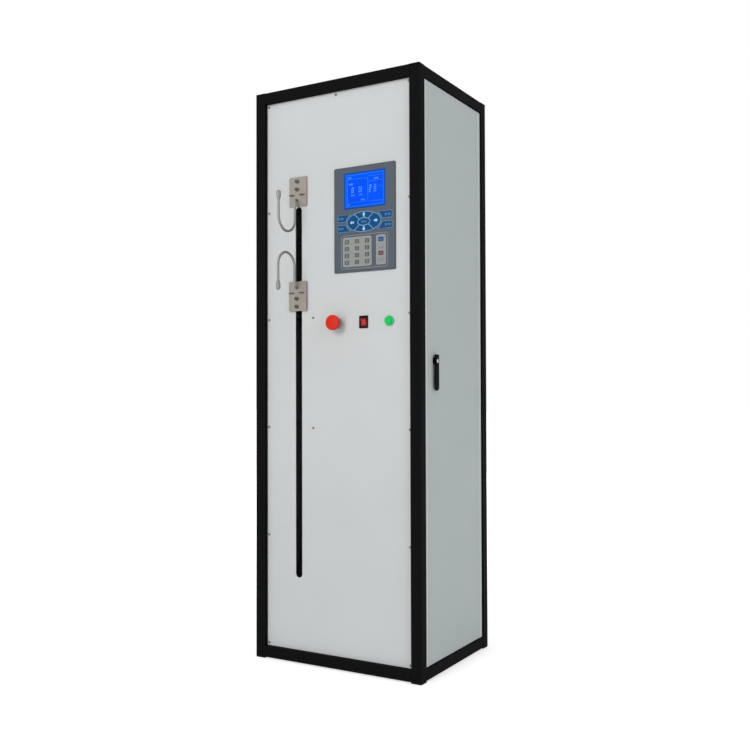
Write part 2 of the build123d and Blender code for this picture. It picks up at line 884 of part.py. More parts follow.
with BuildPart() as motor_mount:
    mount_front = axis_y - motor_size / 2 - mount_lip
    with BuildSketch(Plane(origin=(slot_x - mount_width / 2, 0, 0), x_dir=(0, 1, 0), z_dir=(1, 0, 0))):
        with BuildLine():
            Polyline(
                (spine_front_y, motor_face), (mount_front, motor_face),
                (mount_front, motor_face + mount_thick),
                (spine_front_y - mount_wall, motor_face + mount_thick),
                (spine_front_y - mount_wall, motor_face + mount_leg),
                (spine_front_y, motor_face + mount_leg),
                close=True,
            )
        make_face()
    extrude(amount=mount_width)
    with BuildSketch(Plane.XY.offset(motor_face)):
        with Locations((slot_x, axis_y)):
            Circle(motor_pilot_r + running_play)
            with GridLocations(motor_bolt_spacing, motor_bolt_spacing, 2, 2):
                Circle(motor_bolt_r + screw_play)
    extrude(amount=mount_thick, mode=Mode.SUBTRACT)
motor_mount.part.label = "motor_mount"
export_step(motor_mount.part, "parts/motor_mount.step")

with BuildPart() as motor_screws:
    with BuildSketch(Plane.XY.offset(motor_face)):
        with Locations((slot_x, axis_y)):
            with GridLocations(motor_bolt_spacing, motor_bolt_spacing, 2, 2):
                Circle(motor_bolt_r)
    extrude(amount=mount_thick)
    with BuildSketch(Plane.XY.offset(motor_face + mount_thick)):
        with Locations((slot_x, axis_y)):
            with GridLocations(motor_bolt_spacing, motor_bolt_spacing, 2, 2):
                Circle(motor_bolt_head_r)
    extrude(amount=motor_bolt_head)
motor_screws.part.label = "motor_screws"
export_step(motor_screws.part, "parts/motor_screws.step")


# Carriage

arm_middle = (arm_far - arm_near) / 2
carriage_z = lower_plate_z - arm_middle
carriage_low = carriage_z - carriage_height / 2
carriage_front = axis_y - carriage_depth / 2

with BuildPart() as carriage_block:
    with BuildSketch(Plane.XY.offset(carriage_low)):
        with Locations((slot_x, axis_y)):
            RectangleRounded(carriage_width, carriage_depth, carriage_corner)
        with Locations((slot_x - rod_spacing / 2, axis_y), (slot_x + rod_spacing / 2, axis_y)):
            Circle(bush_r + block_play, mode=Mode.SUBTRACT)
        with Locations((slot_x, axis_y)):
            Circle(nut_r + block_play, mode=Mode.SUBTRACT)
    extrude(amount=carriage_height)
    carriage_back = (slot_x, axis_y + carriage_depth / 2, carriage_z)
    back_plane = Plane(origin=carriage_back, x_dir=(-1, 0, 0), z_dir=(0, 1, 0))
    with BuildSketch(back_plane):
        RectangleRounded(carriage_relief, carriage_height - 2 * carriage_relief, carriage_corner)
    extrude(amount=-(carriage_depth / 2 - nut_r - carriage_corner), mode=Mode.SUBTRACT)
carriage_block.part.label = "carriage_block"
export_step(carriage_block.part, "parts/carriage_block.step")

with BuildPart() as guide_bushes:
    bush_reach = carriage_height / 2 - bush_inset - bush_length
    for low in (carriage_low + bush_inset, carriage_z + bush_reach):
        with BuildSketch(Plane.XY.offset(low)):
            with Locations((slot_x - rod_spacing / 2, axis_y), (slot_x + rod_spacing / 2, axis_y)):
                Circle(bush_r)
                Circle(rod_r + running_play, mode=Mode.SUBTRACT)
        extrude(amount=bush_length)
guide_bushes.part.label = "guide_bushes"
export_step(guide_bushes.part, "parts/guide_bushes.step")

with BuildPart() as screw_nut:
    with BuildSketch(Plane.XY.offset(carriage_low)):
        with Locations((slot_x, axis_y)):
            Circle(nut_r)
            Circle(screw_r + running_play, mode=Mode.SUBTRACT)
    extrude(amount=nut_length)
    with BuildSketch(Plane.XY.offset(carriage_low)):
        with Locations((slot_x, axis_y)):
            Circle(nut_flange_r)
            Circle(screw_r + running_play, mode=Mode.SUBTRACT)
    extrude(amount=-nut_flange)
screw_nut.part.label = "screw_nut"
export_step(screw_nut.part, "parts/screw_nut.step")

with BuildPart() as sensor_flag:
    carriage_right = slot_x + carriage_width / 2
    sensor_x = slot_x + spine_width / 2 + sensor_width / 2
    flag_back = spine_front_y + flag_reach
    flag_bend = axis_y + carriage_depth / 4
    with BuildSketch(Plane.XY.offset(carriage_z - flag_height / 2)):
        with BuildLine():
            Polyline(
                (carriage_right, flag_bend), (carriage_right, axis_y - carriage_depth / 4),
                (carriage_right + flag_thick, axis_y - carriage_depth / 4),
                (carriage_right + flag_thick, flag_bend - flag_thick),
                (sensor_x + flag_thick / 2, flag_bend - flag_thick),
                (sensor_x + flag_thick / 2, flag_back), (sensor_x - flag_thick / 2, flag_back),
                (sensor_x - flag_thick / 2, flag_bend),
                close=True,
            )
        make_face()
    extrude(amount=flag_height)
sensor_flag.part.label = "sensor_flag"
export_step(sensor_flag.part, "parts/sensor_flag.step")

with BuildPart() as limit_sensors:
    sensor_front = spine_back_y - sensor_depth
    for level in (carriage_z - travel_down, carriage_z + travel_up):
        with Locations((sensor_x, sensor_front + sensor_depth / 2, level)):
            Box(sensor_width, sensor_depth, sensor_height)
        with Locations((sensor_x, sensor_front + sensor_slot_depth / 2, level)):
            Box(sensor_slot, sensor_slot_depth, sensor_height, mode=Mode.SUBTRACT)
limit_sensors.part.label = "limit_sensors"
export_step(limit_sensors.part, "parts/limit_sensors.step")


# Hooks, their plates, the arm and the load cell


def plate_screws_at(plate_z, way):
    """Where the two screws of a plate sit."""
    return [(hook_x, plate_z + way * plate_screw_far), (hook_x, plate_z + way * plate_screw_near)]


def hook_plate(plate_z, gap, way):
    """A sheet plate with two screw holes, two short ribs and the hook's hole; way is 1 or -1."""
    with BuildPart() as plate:
        with BuildSketch(front_plane(gap)):
            with Locations((slot_x, plate_z)):
                RectangleRounded(plate_width, plate_height, plate_corner)
            with Locations(*plate_screws_at(plate_z, way)):
                Circle(plate_hole_r, mode=Mode.SUBTRACT)
            with Locations((hook_x, plate_z - way * hook_root_drop)):
                Circle(hook_rod_r + hook_hole_play, mode=Mode.SUBTRACT)
        extrude(amount=plate_thick)
        with BuildSketch(front_plane(gap + plate_thick)):
            for side in (-1, 1):
                with Locations((hook_x + side * (rib_inner + rib_length / 2), plate_z - way * rib_drop)):
                    Rectangle(rib_length, rib_thick)
        extrude(amount=rib_depth)
    return plate.part


def hook(plate_z, gap, way):
    """A bent rod that leaves the plate, turns along the panel and bends round towards the front."""
    root_y = front_y - gap
    leg_y = root_y - plate_thick - hook_standoff
    outer_y = leg_y - 2 * hook_bend_r
    root_z = plate_z - way * hook_root_drop
    bend_z = plate_z - way * (hook_bend_drop - hook_bend_r)
    tip_z = plate_z - way * hook_tip_drop
    neck_z = tip_z - way * hook_tip_length
    hook_plane = Plane(origin=(hook_x, 0, 0), x_dir=(0, 1, 0), z_dir=(1, 0, 0))
    with BuildPart() as rod:
        with BuildLine(hook_plane) as path:
            Line((root_y, root_z), (leg_y + hook_elbow_r, root_z))
            elbow_z = root_z - way * hook_elbow_r
            RadiusArc((leg_y + hook_elbow_r, root_z), (leg_y, elbow_z), -way * hook_elbow_r)
            Line((leg_y, elbow_z), (leg_y, bend_z))
            CenterArc((leg_y - hook_bend_r, bend_z), hook_bend_r, 0, -180 * way)
            Line((outer_y, bend_z), (outer_y, neck_z))
        with BuildSketch(Plane(origin=(hook_x, root_y, root_z), x_dir=(1, 0, 0), z_dir=(0, -1, 0))):
            Circle(hook_rod_r)
        sweep(path=path.wires()[0])
        with BuildSketch(hook_plane):
            with BuildLine():
                shoulder_z = tip_z - way * hook_tip_r
                Polyline(
                    (outer_y, tip_z), (outer_y, neck_z),
                    (outer_y + hook_rod_r, neck_z),
                    (outer_y + hook_tip_r, neck_z + way * hook_tip_taper),
                    (outer_y + hook_tip_r, shoulder_z),
                )
                RadiusArc((outer_y + hook_tip_r, shoulder_z), (outer_y, tip_z), -way * hook_tip_r)
            make_face()
        revolve(axis=Axis((hook_x, outer_y, 0), (0, 0, 1)))
    return rod.part


def plate_screws(plate_z, gap, way):
    """Two socket-head screws that hold a plate to its arm."""
    seat = front_plane(gap + plate_thick)
    places = plate_screws_at(plate_z, way)
    with BuildPart() as screws:
        with BuildSketch(seat):
            with Locations(*places):
                Circle(plate_screw_head_r)
        extrude(amount=plate_screw_head_height)
        with BuildSketch(front_plane(gap + plate_thick + plate_screw_head_height)):
            with Locations(*places):
                RegularPolygon(plate_socket_r, 6)
        extrude(amount=-plate_socket_depth, mode=Mode.SUBTRACT)
        with BuildSketch(seat):
            with Locations(*places):
                Circle(plate_screw_shank_r)
        extrude(amount=-plate_screw_grip)
    return screws.part


def plate_arm(plate_z, gap, way, back_y):
    """The blade behind a plate, tapped for its two screws, from the plate back to a depth."""
    blade_z = plate_z + way * (arm_far - arm_near) / 2
    face_y = front_y - gap
    with BuildPart() as blade:
        with BuildSketch(front_plane(gap)):
            with Locations((slot_x, blade_z)):
                Rectangle(arm_width, arm_far + arm_near)
        extrude(amount=-(back_y - face_y))
        with BuildSketch(front_plane(gap)):
            with Locations(*plate_screws_at(plate_z, way)):
                Circle(plate_screw_shank_r + screw_play)
        extrude(amount=-(plate_screw_grip - plate_thick + screw_shoulder_gap), mode=Mode.SUBTRACT)
    return blade.part


upper_hook_plate = hook_plate(upper_plate_z, upper_plate_gap, 1)
upper_hook_plate.label = "upper_hook_plate"
export_step(upper_hook_plate, "parts/upper_hook_plate.step")

lower_hook_plate = hook_plate(lower_plate_z, lower_plate_gap, -1)
lower_hook_plate.label = "lower_hook_plate"
export_step(lower_hook_plate, "parts/lower_hook_plate.step")

upper_hook = hook(upper_plate_z, upper_plate_gap, 1)
upper_hook.label = "upper_hook"
export_step(upper_hook, "parts/upper_hook.step")

lower_hook = hook(lower_plate_z, lower_plate_gap, -1)
lower_hook.label = "lower_hook"
export_step(lower_hook, "parts/lower_hook.step")

upper_plate_screws = plate_screws(upper_plate_z, upper_plate_gap, 1)
upper_plate_screws.label = "upper_plate_screws"
export_step(upper_plate_screws, "parts/upper_plate_screws.step")

lower_plate_screws = plate_screws(lower_plate_z, lower_plate_gap, -1)
lower_plate_screws.label = "lower_plate_screws"
export_step(lower_plate_screws, "parts/lower_plate_screws.step")

cell_back_y = spine_front_y - cell_bracket_thick - cell_rear_gap
cell_front_y = cell_back_y - cell_length
cell_z = upper_plate_z + arm_middle
cell_low = cell_z - cell_height / 2

upper_adapter = plate_arm(upper_plate_z, upper_plate_gap, 1, cell_front_y)
upper_adapter.label = "upper_adapter"
export_step(upper_adapter, "parts/upper_adapter.step")

lower_blade = plate_arm(lower_plate_z, lower_plate_gap, -1, carriage_front)

with BuildPart() as hook_arm:
    add(lower_blade)
    with BuildSketch(Plane(origin=(slot_x, carriage_front, carriage_z), x_dir=(1, 0, 0), z_dir=(0, -1, 0))):
        RectangleRounded(arm_flange_width, arm_flange_height, arm_root_r)
    extrude(amount=arm_flange)
    for side in (-1, 1):
        root = (slot_x + side * arm_width / 2, carriage_front - arm_flange, carriage_z)
        fillet(hook_arm.edges().filter_by(Axis.Z).sort_by_distance(root)[0], radius=arm_root_r)
hook_arm.part.label = "hook_arm"
export_step(hook_arm.part, "parts/hook_arm.step")

# Bending-beam load cell: two joined bores leave thin walls above and below
with BuildPart() as load_cell:
    cell_side = Plane(origin=(slot_x - cell_width / 2, 0, 0), x_dir=(0, 1, 0), z_dir=(1, 0, 0))
    cell_y = (cell_back_y + cell_front_y) / 2
    with BuildSketch(cell_side):
        with Locations((cell_y, cell_z)):
            Rectangle(cell_length, cell_height)
            Rectangle(cell_bore_spacing, cell_neck, mode=Mode.SUBTRACT)
        with Locations((cell_y - cell_bore_spacing / 2, cell_z), (cell_y + cell_bore_spacing / 2, cell_z)):
            Circle(cell_bore_r, mode=Mode.SUBTRACT)
    extrude(amount=cell_width)
load_cell.part.label = "load_cell"
export_step(load_cell.part, "parts/load_cell.step")

with BuildPart() as load_cell_bracket:
    leg_top = cell_low - cell_pad
    leg_front = cell_back_y - cell_seat
    wall_front = spine_front_y - cell_bracket_thick
    with BuildSketch(Plane(origin=(slot_x - cell_bracket_width / 2, 0, 0), x_dir=(0, 1, 0), z_dir=(1, 0, 0))):
        with BuildLine():
            Polyline(
                (spine_front_y, leg_top - cell_bracket_drop), (spine_front_y, leg_top),
                (cell_back_y, leg_top), (cell_back_y, cell_low), (leg_front, cell_low),
                (leg_front, leg_top - cell_bracket_thick), (wall_front, leg_top - cell_bracket_thick),
                (wall_front, leg_top - cell_bracket_drop),
                close=True,
            )
        make_face()
    extrude(amount=cell_bracket_width)
    bracket_root = load_cell_bracket.edges().filter_by(Axis.X).sort_by_distance(
        (slot_x, wall_front, leg_top - cell_bracket_thick))[0]
    fillet(bracket_root, radius=cell_bracket_thick / 2)
load_cell_bracket.part.label = "load_cell_bracket"
export_step(load_cell_bracket.part, "parts/load_cell_bracket.step")


# Control unit

with BuildPart() as control_housing:
    with BuildSketch(front_plane()):
        with Locations((unit_x, unit_z)):
            RectangleRounded(unit_width, unit_height, unit_corner)
    extrude(amount=unit_flange)
    chamfer(control_housing.faces().sort_by(Axis.Y)[0].edges(), length=unit_bevel)
    with BuildSketch(front_plane()):
        with Locations((unit_x, unit_z)):
            Rectangle(unit_body_width, unit_body_height)
    extrude(amount=-unit_depth)
    with BuildSketch(front_plane(unit_flange)):
        with Locations((unit_x, unit_z)):
            RectangleRounded(unit_width - 2 * unit_rim, unit_height - 2 * unit_rim, unit_corner / 2)
    extrude(amount=-unit_overlay, mode=Mode.SUBTRACT)
    lcd_at = (unit_x + lcd_shift_x, unit_z + (unit_height - lcd_height) / 2 - lcd_top_gap)
    with BuildSketch(front_plane(unit_flange - unit_overlay)):
        with Locations(lcd_at):
            Rectangle(lcd_width + 2 * lcd_play, lcd_height + 2 * lcd_play)
    extrude(amount=-lcd_thick, mode=Mode.SUBTRACT)
control_housing.part.label = "control_housing"
export_step(control_housing.part, "parts/control_housing.step")

with BuildPart() as control_membrane:
    membrane_rim = unit_rim + membrane_play
    with BuildSketch(front_plane(unit_flange - unit_overlay)):
        with Locations((unit_x, unit_z)):
            RectangleRounded(unit_width - 2 * membrane_rim, unit_height - 2 * membrane_rim, unit_corner / 2)
        with Locations(lcd_at):
            Rectangle(lcd_width - 2 * lcd_border, lcd_height - 2 * lcd_border, mode=Mode.SUBTRACT)
    extrude(amount=unit_overlay)
control_membrane.part.label = "control_membrane"
export_step(control_membrane.part, "parts/control_membrane.step")

with BuildPart() as lcd_window:
    with BuildSketch(front_plane(unit_flange - unit_overlay)):
        with Locations(lcd_at):
            Rectangle(lcd_width, lcd_height)
    extrude(amount=-lcd_thick)
lcd_window.part.label = "lcd_window"
export_step(lcd_window.part, "parts/lcd_window.step")


# Buttons and switch


def turned(x, outline):
    """A turned piece on a button's axis; the outline is (radius, distance out of the panel)."""
    with BuildPart() as piece:
        with BuildSketch(Plane(origin=(x, front_y, button_z), x_dir=(1, 0, 0), z_dir=(0, 0, 1))):
            with BuildLine():
                Polyline(*[(r, -out) for r, out in outline], close=True)
            make_face()
        revolve(axis=Axis((x, front_y, button_z), (0, 1, 0)))
    return piece.part


estop_barrel = turned(estop_x, [
    (estop_stem_r + running_play, -barrel_depth),
    (barrel_r, -barrel_depth),
    (barrel_r, 0),
    (estop_collar_r, 0),
    (estop_collar_r, estop_collar - collar_edge),
    (estop_collar_r - collar_edge, estop_collar),
    (estop_stem_r + running_play, estop_collar),
])
estop_barrel.label = "estop_barrel"
export_step(estop_barrel, "parts/estop_barrel.step")

estop_plunger = turned(estop_x, [
    (0, -estop_stem_end),
    (estop_stem_r - stem_edge, -estop_stem_end),
    (estop_stem_r, stem_edge - estop_stem_end),
    (estop_stem_r, estop_neck_front + estop_stem_grip),
    (0, estop_neck_front + estop_stem_grip),
])
estop_plunger.label = "estop_plunger"
export_step(estop_plunger, "parts/estop_plunger.step")

with BuildPart() as estop_head:
    head_plane = Plane(origin=(estop_x, front_y, button_z), x_dir=(1, 0, 0), z_dir=(0, 0, 1))
    rim_back = -(estop_head_front - estop_rim)
    rim_front = -(estop_head_front - estop_dome)
    bore_end = -(estop_neck_front + estop_stem_grip + running_play)
    with BuildSketch(head_plane):
        with BuildLine():
            Polyline(
                (0, -estop_head_front), (0, bore_end), (estop_stem_r + running_play, bore_end),
                (estop_stem_r + running_play, -estop_neck_front), (estop_neck_r, -estop_neck_front),
                (estop_neck_r + neck_flare, -estop_neck_front - neck_flare), (estop_head_r, rim_back),
                (estop_head_r, rim_front),
            )
            TangentArc((0, -estop_head_front), (estop_head_r, rim_front), tangent=(1, 0))
        make_face()
    revolve(axis=Axis((estop_x, front_y, button_z), (0, 1, 0)))
    rim_edge = estop_head.edges().filter_by(GeomType.CIRCLE).filter_by(
        lambda e: abs(e.radius - estop_head_r) < running_play)
    fillet(rim_edge, radius=collar_edge)
estop_head.part.label = "estop_head"
export_step(estop_head.part, "parts/estop_head.step")

start_bezel_ring = turned(start_x, [
    (start_stem_r + running_play, -barrel_depth),
    (barrel_r, -barrel_depth),
    (barrel_r, 0),
    (start_bezel_r, 0),
    (start_bezel_r, start_bezel - collar_edge),
    (start_bezel_r - collar_edge, start_bezel),
    (start_cap_r + start_cap_play, start_bezel),
    (start_cap_r + start_cap_play, start_well),
    (start_stem_r + running_play, start_well),
])
start_bezel_ring.label = "start_bezel"
export_step(start_bezel_ring, "parts/start_bezel.step")

start_button = turned(start_x, [
    (0, -estop_stem_end),
    (start_stem_r, -estop_stem_end),
    (start_stem_r, start_cap_back),
    (start_cap_r, start_cap_back),
    (start_cap_r, start_cap_front - stem_edge),
    (start_cap_r - stem_edge, start_cap_front),
    (start_cap_r - start_rim, start_cap_front),
    (start_cap_r - start_rim - stem_edge, start_cap_front - start_cap_dish),
    (0, start_cap_front - start_cap_dish),
])
start_button.label = "start_button"
export_step(start_button, "parts/start_button.step")

with BuildPart() as contact_blocks:
    with BuildSketch(front_plane(-barrel_depth)):
        with Locations((estop_x, button_z), (start_x, button_z)):
            RectangleRounded(contact_width, contact_height, unit_corner / 2)
    extrude(amount=-contact_depth)
contact_blocks.part.label = "contact_blocks"
export_step(contact_blocks.part, "parts/contact_blocks.step")

with BuildPart() as rocker_housing:
    with BuildSketch(front_plane()):
        with Locations((rocker_x, button_z)):
            RectangleRounded(rocker_bezel_width, rocker_bezel_height, rocker_corner)
    extrude(amount=rocker_bezel)
    with BuildSketch(front_plane()):
        with Locations((rocker_x, button_z)):
            Rectangle(rocker_body_width, rocker_body_height)
    extrude(amount=-rocker_body_depth)
    with BuildSketch(front_plane(rocker_bezel)):
        with Locations((rocker_x, button_z)):
            Rectangle(rocker_width + 2 * rocker_side_play, rocker_height + 2 * rocker_play)
    extrude(amount=-(rocker_bezel + rocker_well), mode=Mode.SUBTRACT)
    pin_reach = rocker_width / 2 + rocker_side_play + rocker_pin_grip
    pin_end = (rocker_x - pin_reach, front_y + rocker_pivot, button_z)
    with BuildSketch(Plane(origin=pin_end, x_dir=(0, 1, 0), z_dir=(1, 0, 0))):
        Circle(rocker_pin_r + running_play)
    extrude(amount=2 * pin_reach, mode=Mode.SUBTRACT)
    with BuildSketch(front_plane(-rocker_body_depth)):
        with Locations((rocker_x, button_z)):
            with GridLocations(rocker_body_width / 2, rocker_body_height / 2, 2, 2):
                Rectangle(terminal_width, terminal_thick)
    extrude(amount=-terminal_length)
rocker_housing.part.label = "rocker_housing"
export_step(rocker_housing.part, "parts/rocker_housing.step")

with BuildPart() as rocker:
    tilt = radians(rocker_tilt)
    pivot_y = front_y + rocker_pivot
    half = rocker_height / 2
    side = Plane(
        origin=(rocker_x, pivot_y, button_z),
        x_dir=(0, cos(tilt), sin(tilt)),
        z_dir=(1, 0, 0),
    )
    with BuildSketch(side.offset(-rocker_width / 2)):
        with BuildLine():
            Polyline(
                (-rocker_proud - rocker_pivot, half), (-rocker_valley - rocker_pivot, 0),
                (-rocker_proud - rocker_pivot, -half), (0, -half + stem_edge),
                (rocker_keel - rocker_pivot, -rocker_waist), (rocker_keel - rocker_pivot, rocker_waist),
                (0, half - stem_edge),
                close=True,
            )
        make_face()
    extrude(amount=rocker_width)
    with BuildSketch(side.offset(running_play - pin_reach)):
        Circle(rocker_pin_r)
    extrude(amount=2 * (pin_reach - running_play))
rocker.part.label = "rocker"
export_step(rocker.part, "parts/rocker.step")


# Door

door_front_y = -y_open + door_gap
door_back_y = y_open - door_gap
door_low = z_open_low + door_gap
door_high = z_open_high - door_gap
pivot_x = door_x - pivot_depth
pivot_y_at = door_back_y - pivot_inset

with BuildPart() as door_panel:
    with BuildSketch(door_plane()):
        with Locations((0, z_middle)):
            Rectangle(door_back_y - door_front_y, door_high - door_low)
    extrude(amount=-door_pan)
    with BuildSketch(door_plane(-door_sheet)):
        with Locations((0, z_middle)):
            Rectangle(door_back_y - door_front_y - 2 * door_sheet, door_high - door_low - 2 * door_sheet)
    extrude(amount=-door_pan, mode=Mode.SUBTRACT)
    with BuildSketch(Plane.XY.offset(door_low)):
        with Locations((pivot_x, pivot_y_at)):
            Circle(pivot_pin_r + pivot_play)
    extrude(amount=door_high - door_low, mode=Mode.SUBTRACT)
    with BuildSketch(door_plane()):
        with Locations((lock_y, lock_z)):
            Circle(spindle_r + lock_hole_play)
    extrude(amount=-door_sheet, mode=Mode.SUBTRACT)
door_panel.part.label = "door_panel"
export_step(door_panel.part, "parts/door_panel.step")

with BuildPart() as door_pivot_blocks:
    block_x = door_x - door_sheet - pivot_block / 2
    block_y = door_back_y - door_sheet - pivot_block / 2
    for low in (door_low + door_sheet, door_high - door_sheet - pivot_block):
        with BuildSketch(Plane.XY.offset(low)):
            with Locations((block_x, block_y)):
                Rectangle(pivot_block, pivot_block)
            with Locations((pivot_x, pivot_y_at)):
                Circle(pivot_pin_r + pivot_play, mode=Mode.SUBTRACT)
        extrude(amount=pivot_block)
door_pivot_blocks.part.label = "door_pivot_blocks"
export_step(door_pivot_blocks.part, "parts/door_pivot_blocks.step")

with BuildPart() as pivot_pins:
    collar = door_gap - pivot_collar_play
    for level, way in ((z_open_low, 1), (z_open_high, -1)):
        with BuildSketch(Plane(origin=(pivot_x, pivot_y_at, level), z_dir=(0, 0, way))):
            Circle(pivot_collar_r)
        extrude(amount=collar)
        with BuildSketch(Plane(origin=(pivot_x, pivot_y_at, level), z_dir=(0, 0, way))):
            Circle(pivot_pin_r)
        extrude(amount=pivot_pin_length)
pivot_pins.part.label = "pivot_pins"
export_step(pivot_pins.part, "parts/pivot_pins.step")

with BuildPart() as lock_rosette:
    with BuildSketch(door_plane()):
        with Locations((lock_y, lock_z)):
            Circle(rosette_r)
            Circle(spindle_r + lock_hole_play, mode=Mode.SUBTRACT)
    extrude(amount=lever_standoff - rosette_gap)
lock_rosette.part.label = "lock_rosette"
export_step(lock_rosette.part, "parts/lock_rosette.step")

# The lever hangs from its spindle; its lower end is round
with BuildPart() as lock_lever:
    with BuildSketch(door_plane(lever_standoff)):
        with BuildLine():
            end_z = lock_z - lever_bottom + lever_width / 2
            top_at = lock_z + lever_top
            left_at = lock_y - lever_width / 2
            right_at = lock_y + lever_width / 2
            Line((left_at, end_z), (left_at, top_at))
            Line((left_at, top_at), (right_at, top_at))
            Line((right_at, top_at), (right_at, end_z))
            ThreePointArc((right_at, end_z), (lock_y, lock_z - lever_bottom), (left_at, end_z))
        make_face()
    extrude(amount=lever_thick)
    fillet(lock_lever.edges().filter_by(Axis.X), radius=lever_corner)
    fillet(lock_lever.faces().sort_by(Axis.X)[-1].edges(), radius=lever_edge)
    with BuildSketch(door_plane(lever_standoff)):
        with Locations((lock_y, lock_z)):
            Circle(spindle_r)
    extrude(amount=-(lever_standoff + spindle_reach))
    with BuildSketch(door_plane(lever_standoff + lever_thick)):
        with Locations((lock_y, lock_z)):
            Circle(key_r + running_play)
    extrude(amount=-key_depth, mode=Mode.SUBTRACT)
lock_lever.part.label = "lock_lever"
export_step(lock_lever.part, "parts/lock_lever.step")

with BuildPart() as key_plug:
    with BuildSketch(door_plane(lever_standoff + lever_thick - key_depth + running_play)):
        with Locations((lock_y, lock_z)):
            Circle(key_r)
    extrude(amount=key_depth - running_play + key_proud)
    with BuildSketch(door_plane(lever_standoff + lever_thick + key_proud)):
        with Locations((lock_y, lock_z)):
            Rectangle(key_slot_width, key_slot_length)
    extrude(amount=-key_slot_depth, mode=Mode.SUBTRACT)
key_plug.part.label = "key_plug"
export_step(key_plug.part, "parts/key_plug.step")

cam_top_x = door_stop_x - cam_gap
with BuildPart() as lock_cam:
    with BuildSketch(Plane(origin=(cam_top_x - cam_thick, 0, 0), x_dir=(0, 1, 0), z_dir=(1, 0, 0))):
        with Locations((lock_y, lock_z - cam_length / 2 + cam_width / 4)):
            SlotOverall(cam_length + cam_width / 2, cam_width, rotation=90)
        with Locations((lock_y, lock_z)):
            Circle(spindle_r + cam_play, mode=Mode.SUBTRACT)
    extrude(amount=cam_thick)
lock_cam.part.label = "lock_cam"
export_step(lock_cam.part, "parts/lock_cam.step")


# Electrical parts

with BuildPart() as power_supply:
    with BuildSketch(Plane.XY.offset(base_top)):
        with Locations((supply_x, supply_y)):
            Rectangle(supply_width, supply_depth)
    extrude(amount=supply_height)
    supply_side = (supply_x + supply_width / 2, supply_y, base_top + supply_height / 2)
    with BuildSketch(Plane(origin=supply_side, x_dir=(0, 1, 0), z_dir=(1, 0, 0))):
        with GridLocations(0, supply_slot_pitch, 1, supply_slots):
            SlotOverall(supply_slot_length, supply_slot_width)
    extrude(amount=-supply_slot_depth, mode=Mode.SUBTRACT)
power_supply.part.label = "power_supply"
export_step(power_supply.part, "parts/power_supply.step")

with BuildPart() as motor_driver:
    with BuildSketch(Plane.XY.offset(base_top)):
        with Locations((supply_x, driver_y)):
            Rectangle(driver_width, driver_depth)
        with Locations((supply_x, driver_y + driver_depth / 2 - driver_fin_depth / 2)):
            with GridLocations(driver_fin_pitch, 0, driver_fins, 1):
                Rectangle(driver_fin_pitch / 2, driver_fin_depth, mode=Mode.SUBTRACT)
    extrude(amount=driver_height)
motor_driver.part.label = "motor_driver"
export_step(motor_driver.part, "parts/motor_driver.step")

with BuildPart() as power_inlet:
    with BuildSketch(rear_plane()):
        with Locations((-inlet_x, inlet_z)):
            RectangleRounded(inlet_flange_width, inlet_flange_height, unit_corner)
    extrude(amount=inlet_flange)
    with BuildSketch(rear_plane()):
        with Locations((-inlet_x, inlet_z)):
            Rectangle(inlet_body_width, inlet_body_height)
    extrude(amount=-inlet_body_depth)
    with BuildSketch(rear_plane(inlet_flange)):
        with BuildLine():
            half_w = inlet_mouth_width / 2
            half_h = inlet_mouth_height / 2
            Polyline(
                (-inlet_x - half_w, inlet_z - half_h), (-inlet_x + half_w, inlet_z - half_h),
                (-inlet_x + half_w, inlet_z + half_h - inlet_chamfer),
                (-inlet_x + half_w - inlet_chamfer, inlet_z + half_h),
                (-inlet_x - half_w + inlet_chamfer, inlet_z + half_h),
                (-inlet_x - half_w, inlet_z + half_h - inlet_chamfer),
                close=True,
            )
        make_face()
    extrude(amount=-inlet_mouth_depth, mode=Mode.SUBTRACT)
    with BuildSketch(rear_plane(inlet_flange - inlet_mouth_depth)):
        with Locations(
            (-inlet_x - inlet_pin_spread, inlet_z - inlet_pin_rise),
            (-inlet_x + inlet_pin_spread, inlet_z - inlet_pin_rise),
            (-inlet_x, inlet_z + inlet_pin_rise),
        ):
            Rectangle(inlet_pin_width, inlet_pin_height)
    extrude(amount=inlet_pin_length)
power_inlet.part.label = "power_inlet"
export_step(power_inlet.part, "parts/power_inlet.step")
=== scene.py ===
import json
from math import cos, hypot, pi, radians, sin, sqrt

import bmesh
import bpy
from mathutils import Matrix, Vector


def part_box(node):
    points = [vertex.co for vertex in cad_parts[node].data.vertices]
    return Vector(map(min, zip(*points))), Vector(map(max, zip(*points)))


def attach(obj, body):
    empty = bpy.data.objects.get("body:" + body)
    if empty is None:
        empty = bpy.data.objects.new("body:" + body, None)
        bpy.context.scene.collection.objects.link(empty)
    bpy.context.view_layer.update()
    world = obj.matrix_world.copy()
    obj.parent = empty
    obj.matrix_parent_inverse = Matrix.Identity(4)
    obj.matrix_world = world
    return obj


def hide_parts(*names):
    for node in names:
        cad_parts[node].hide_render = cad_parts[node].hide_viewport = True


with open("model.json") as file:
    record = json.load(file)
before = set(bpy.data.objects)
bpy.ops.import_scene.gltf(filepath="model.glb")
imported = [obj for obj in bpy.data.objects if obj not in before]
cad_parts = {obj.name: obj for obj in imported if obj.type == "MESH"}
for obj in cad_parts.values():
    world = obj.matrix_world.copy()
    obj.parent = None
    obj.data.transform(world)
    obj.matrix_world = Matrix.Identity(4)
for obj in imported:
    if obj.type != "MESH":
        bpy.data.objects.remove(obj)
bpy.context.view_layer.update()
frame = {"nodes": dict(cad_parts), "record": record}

MM = 0.001
FAR = 100.0  # metres, a half size that leaves its axis out of a share
FACE_HEIGHT = 277.0  # mm, the face that the keypad's upright places are written for


# Places read from the frame, in metres

def corners(node):
    """The lowest and the highest corner of a CAD node's box."""
    return [Vector(corner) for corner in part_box(node)]


def middle(node):
    """The centre of a CAD node's box."""
    low, high = corners(node)
    return (low + high) / 2


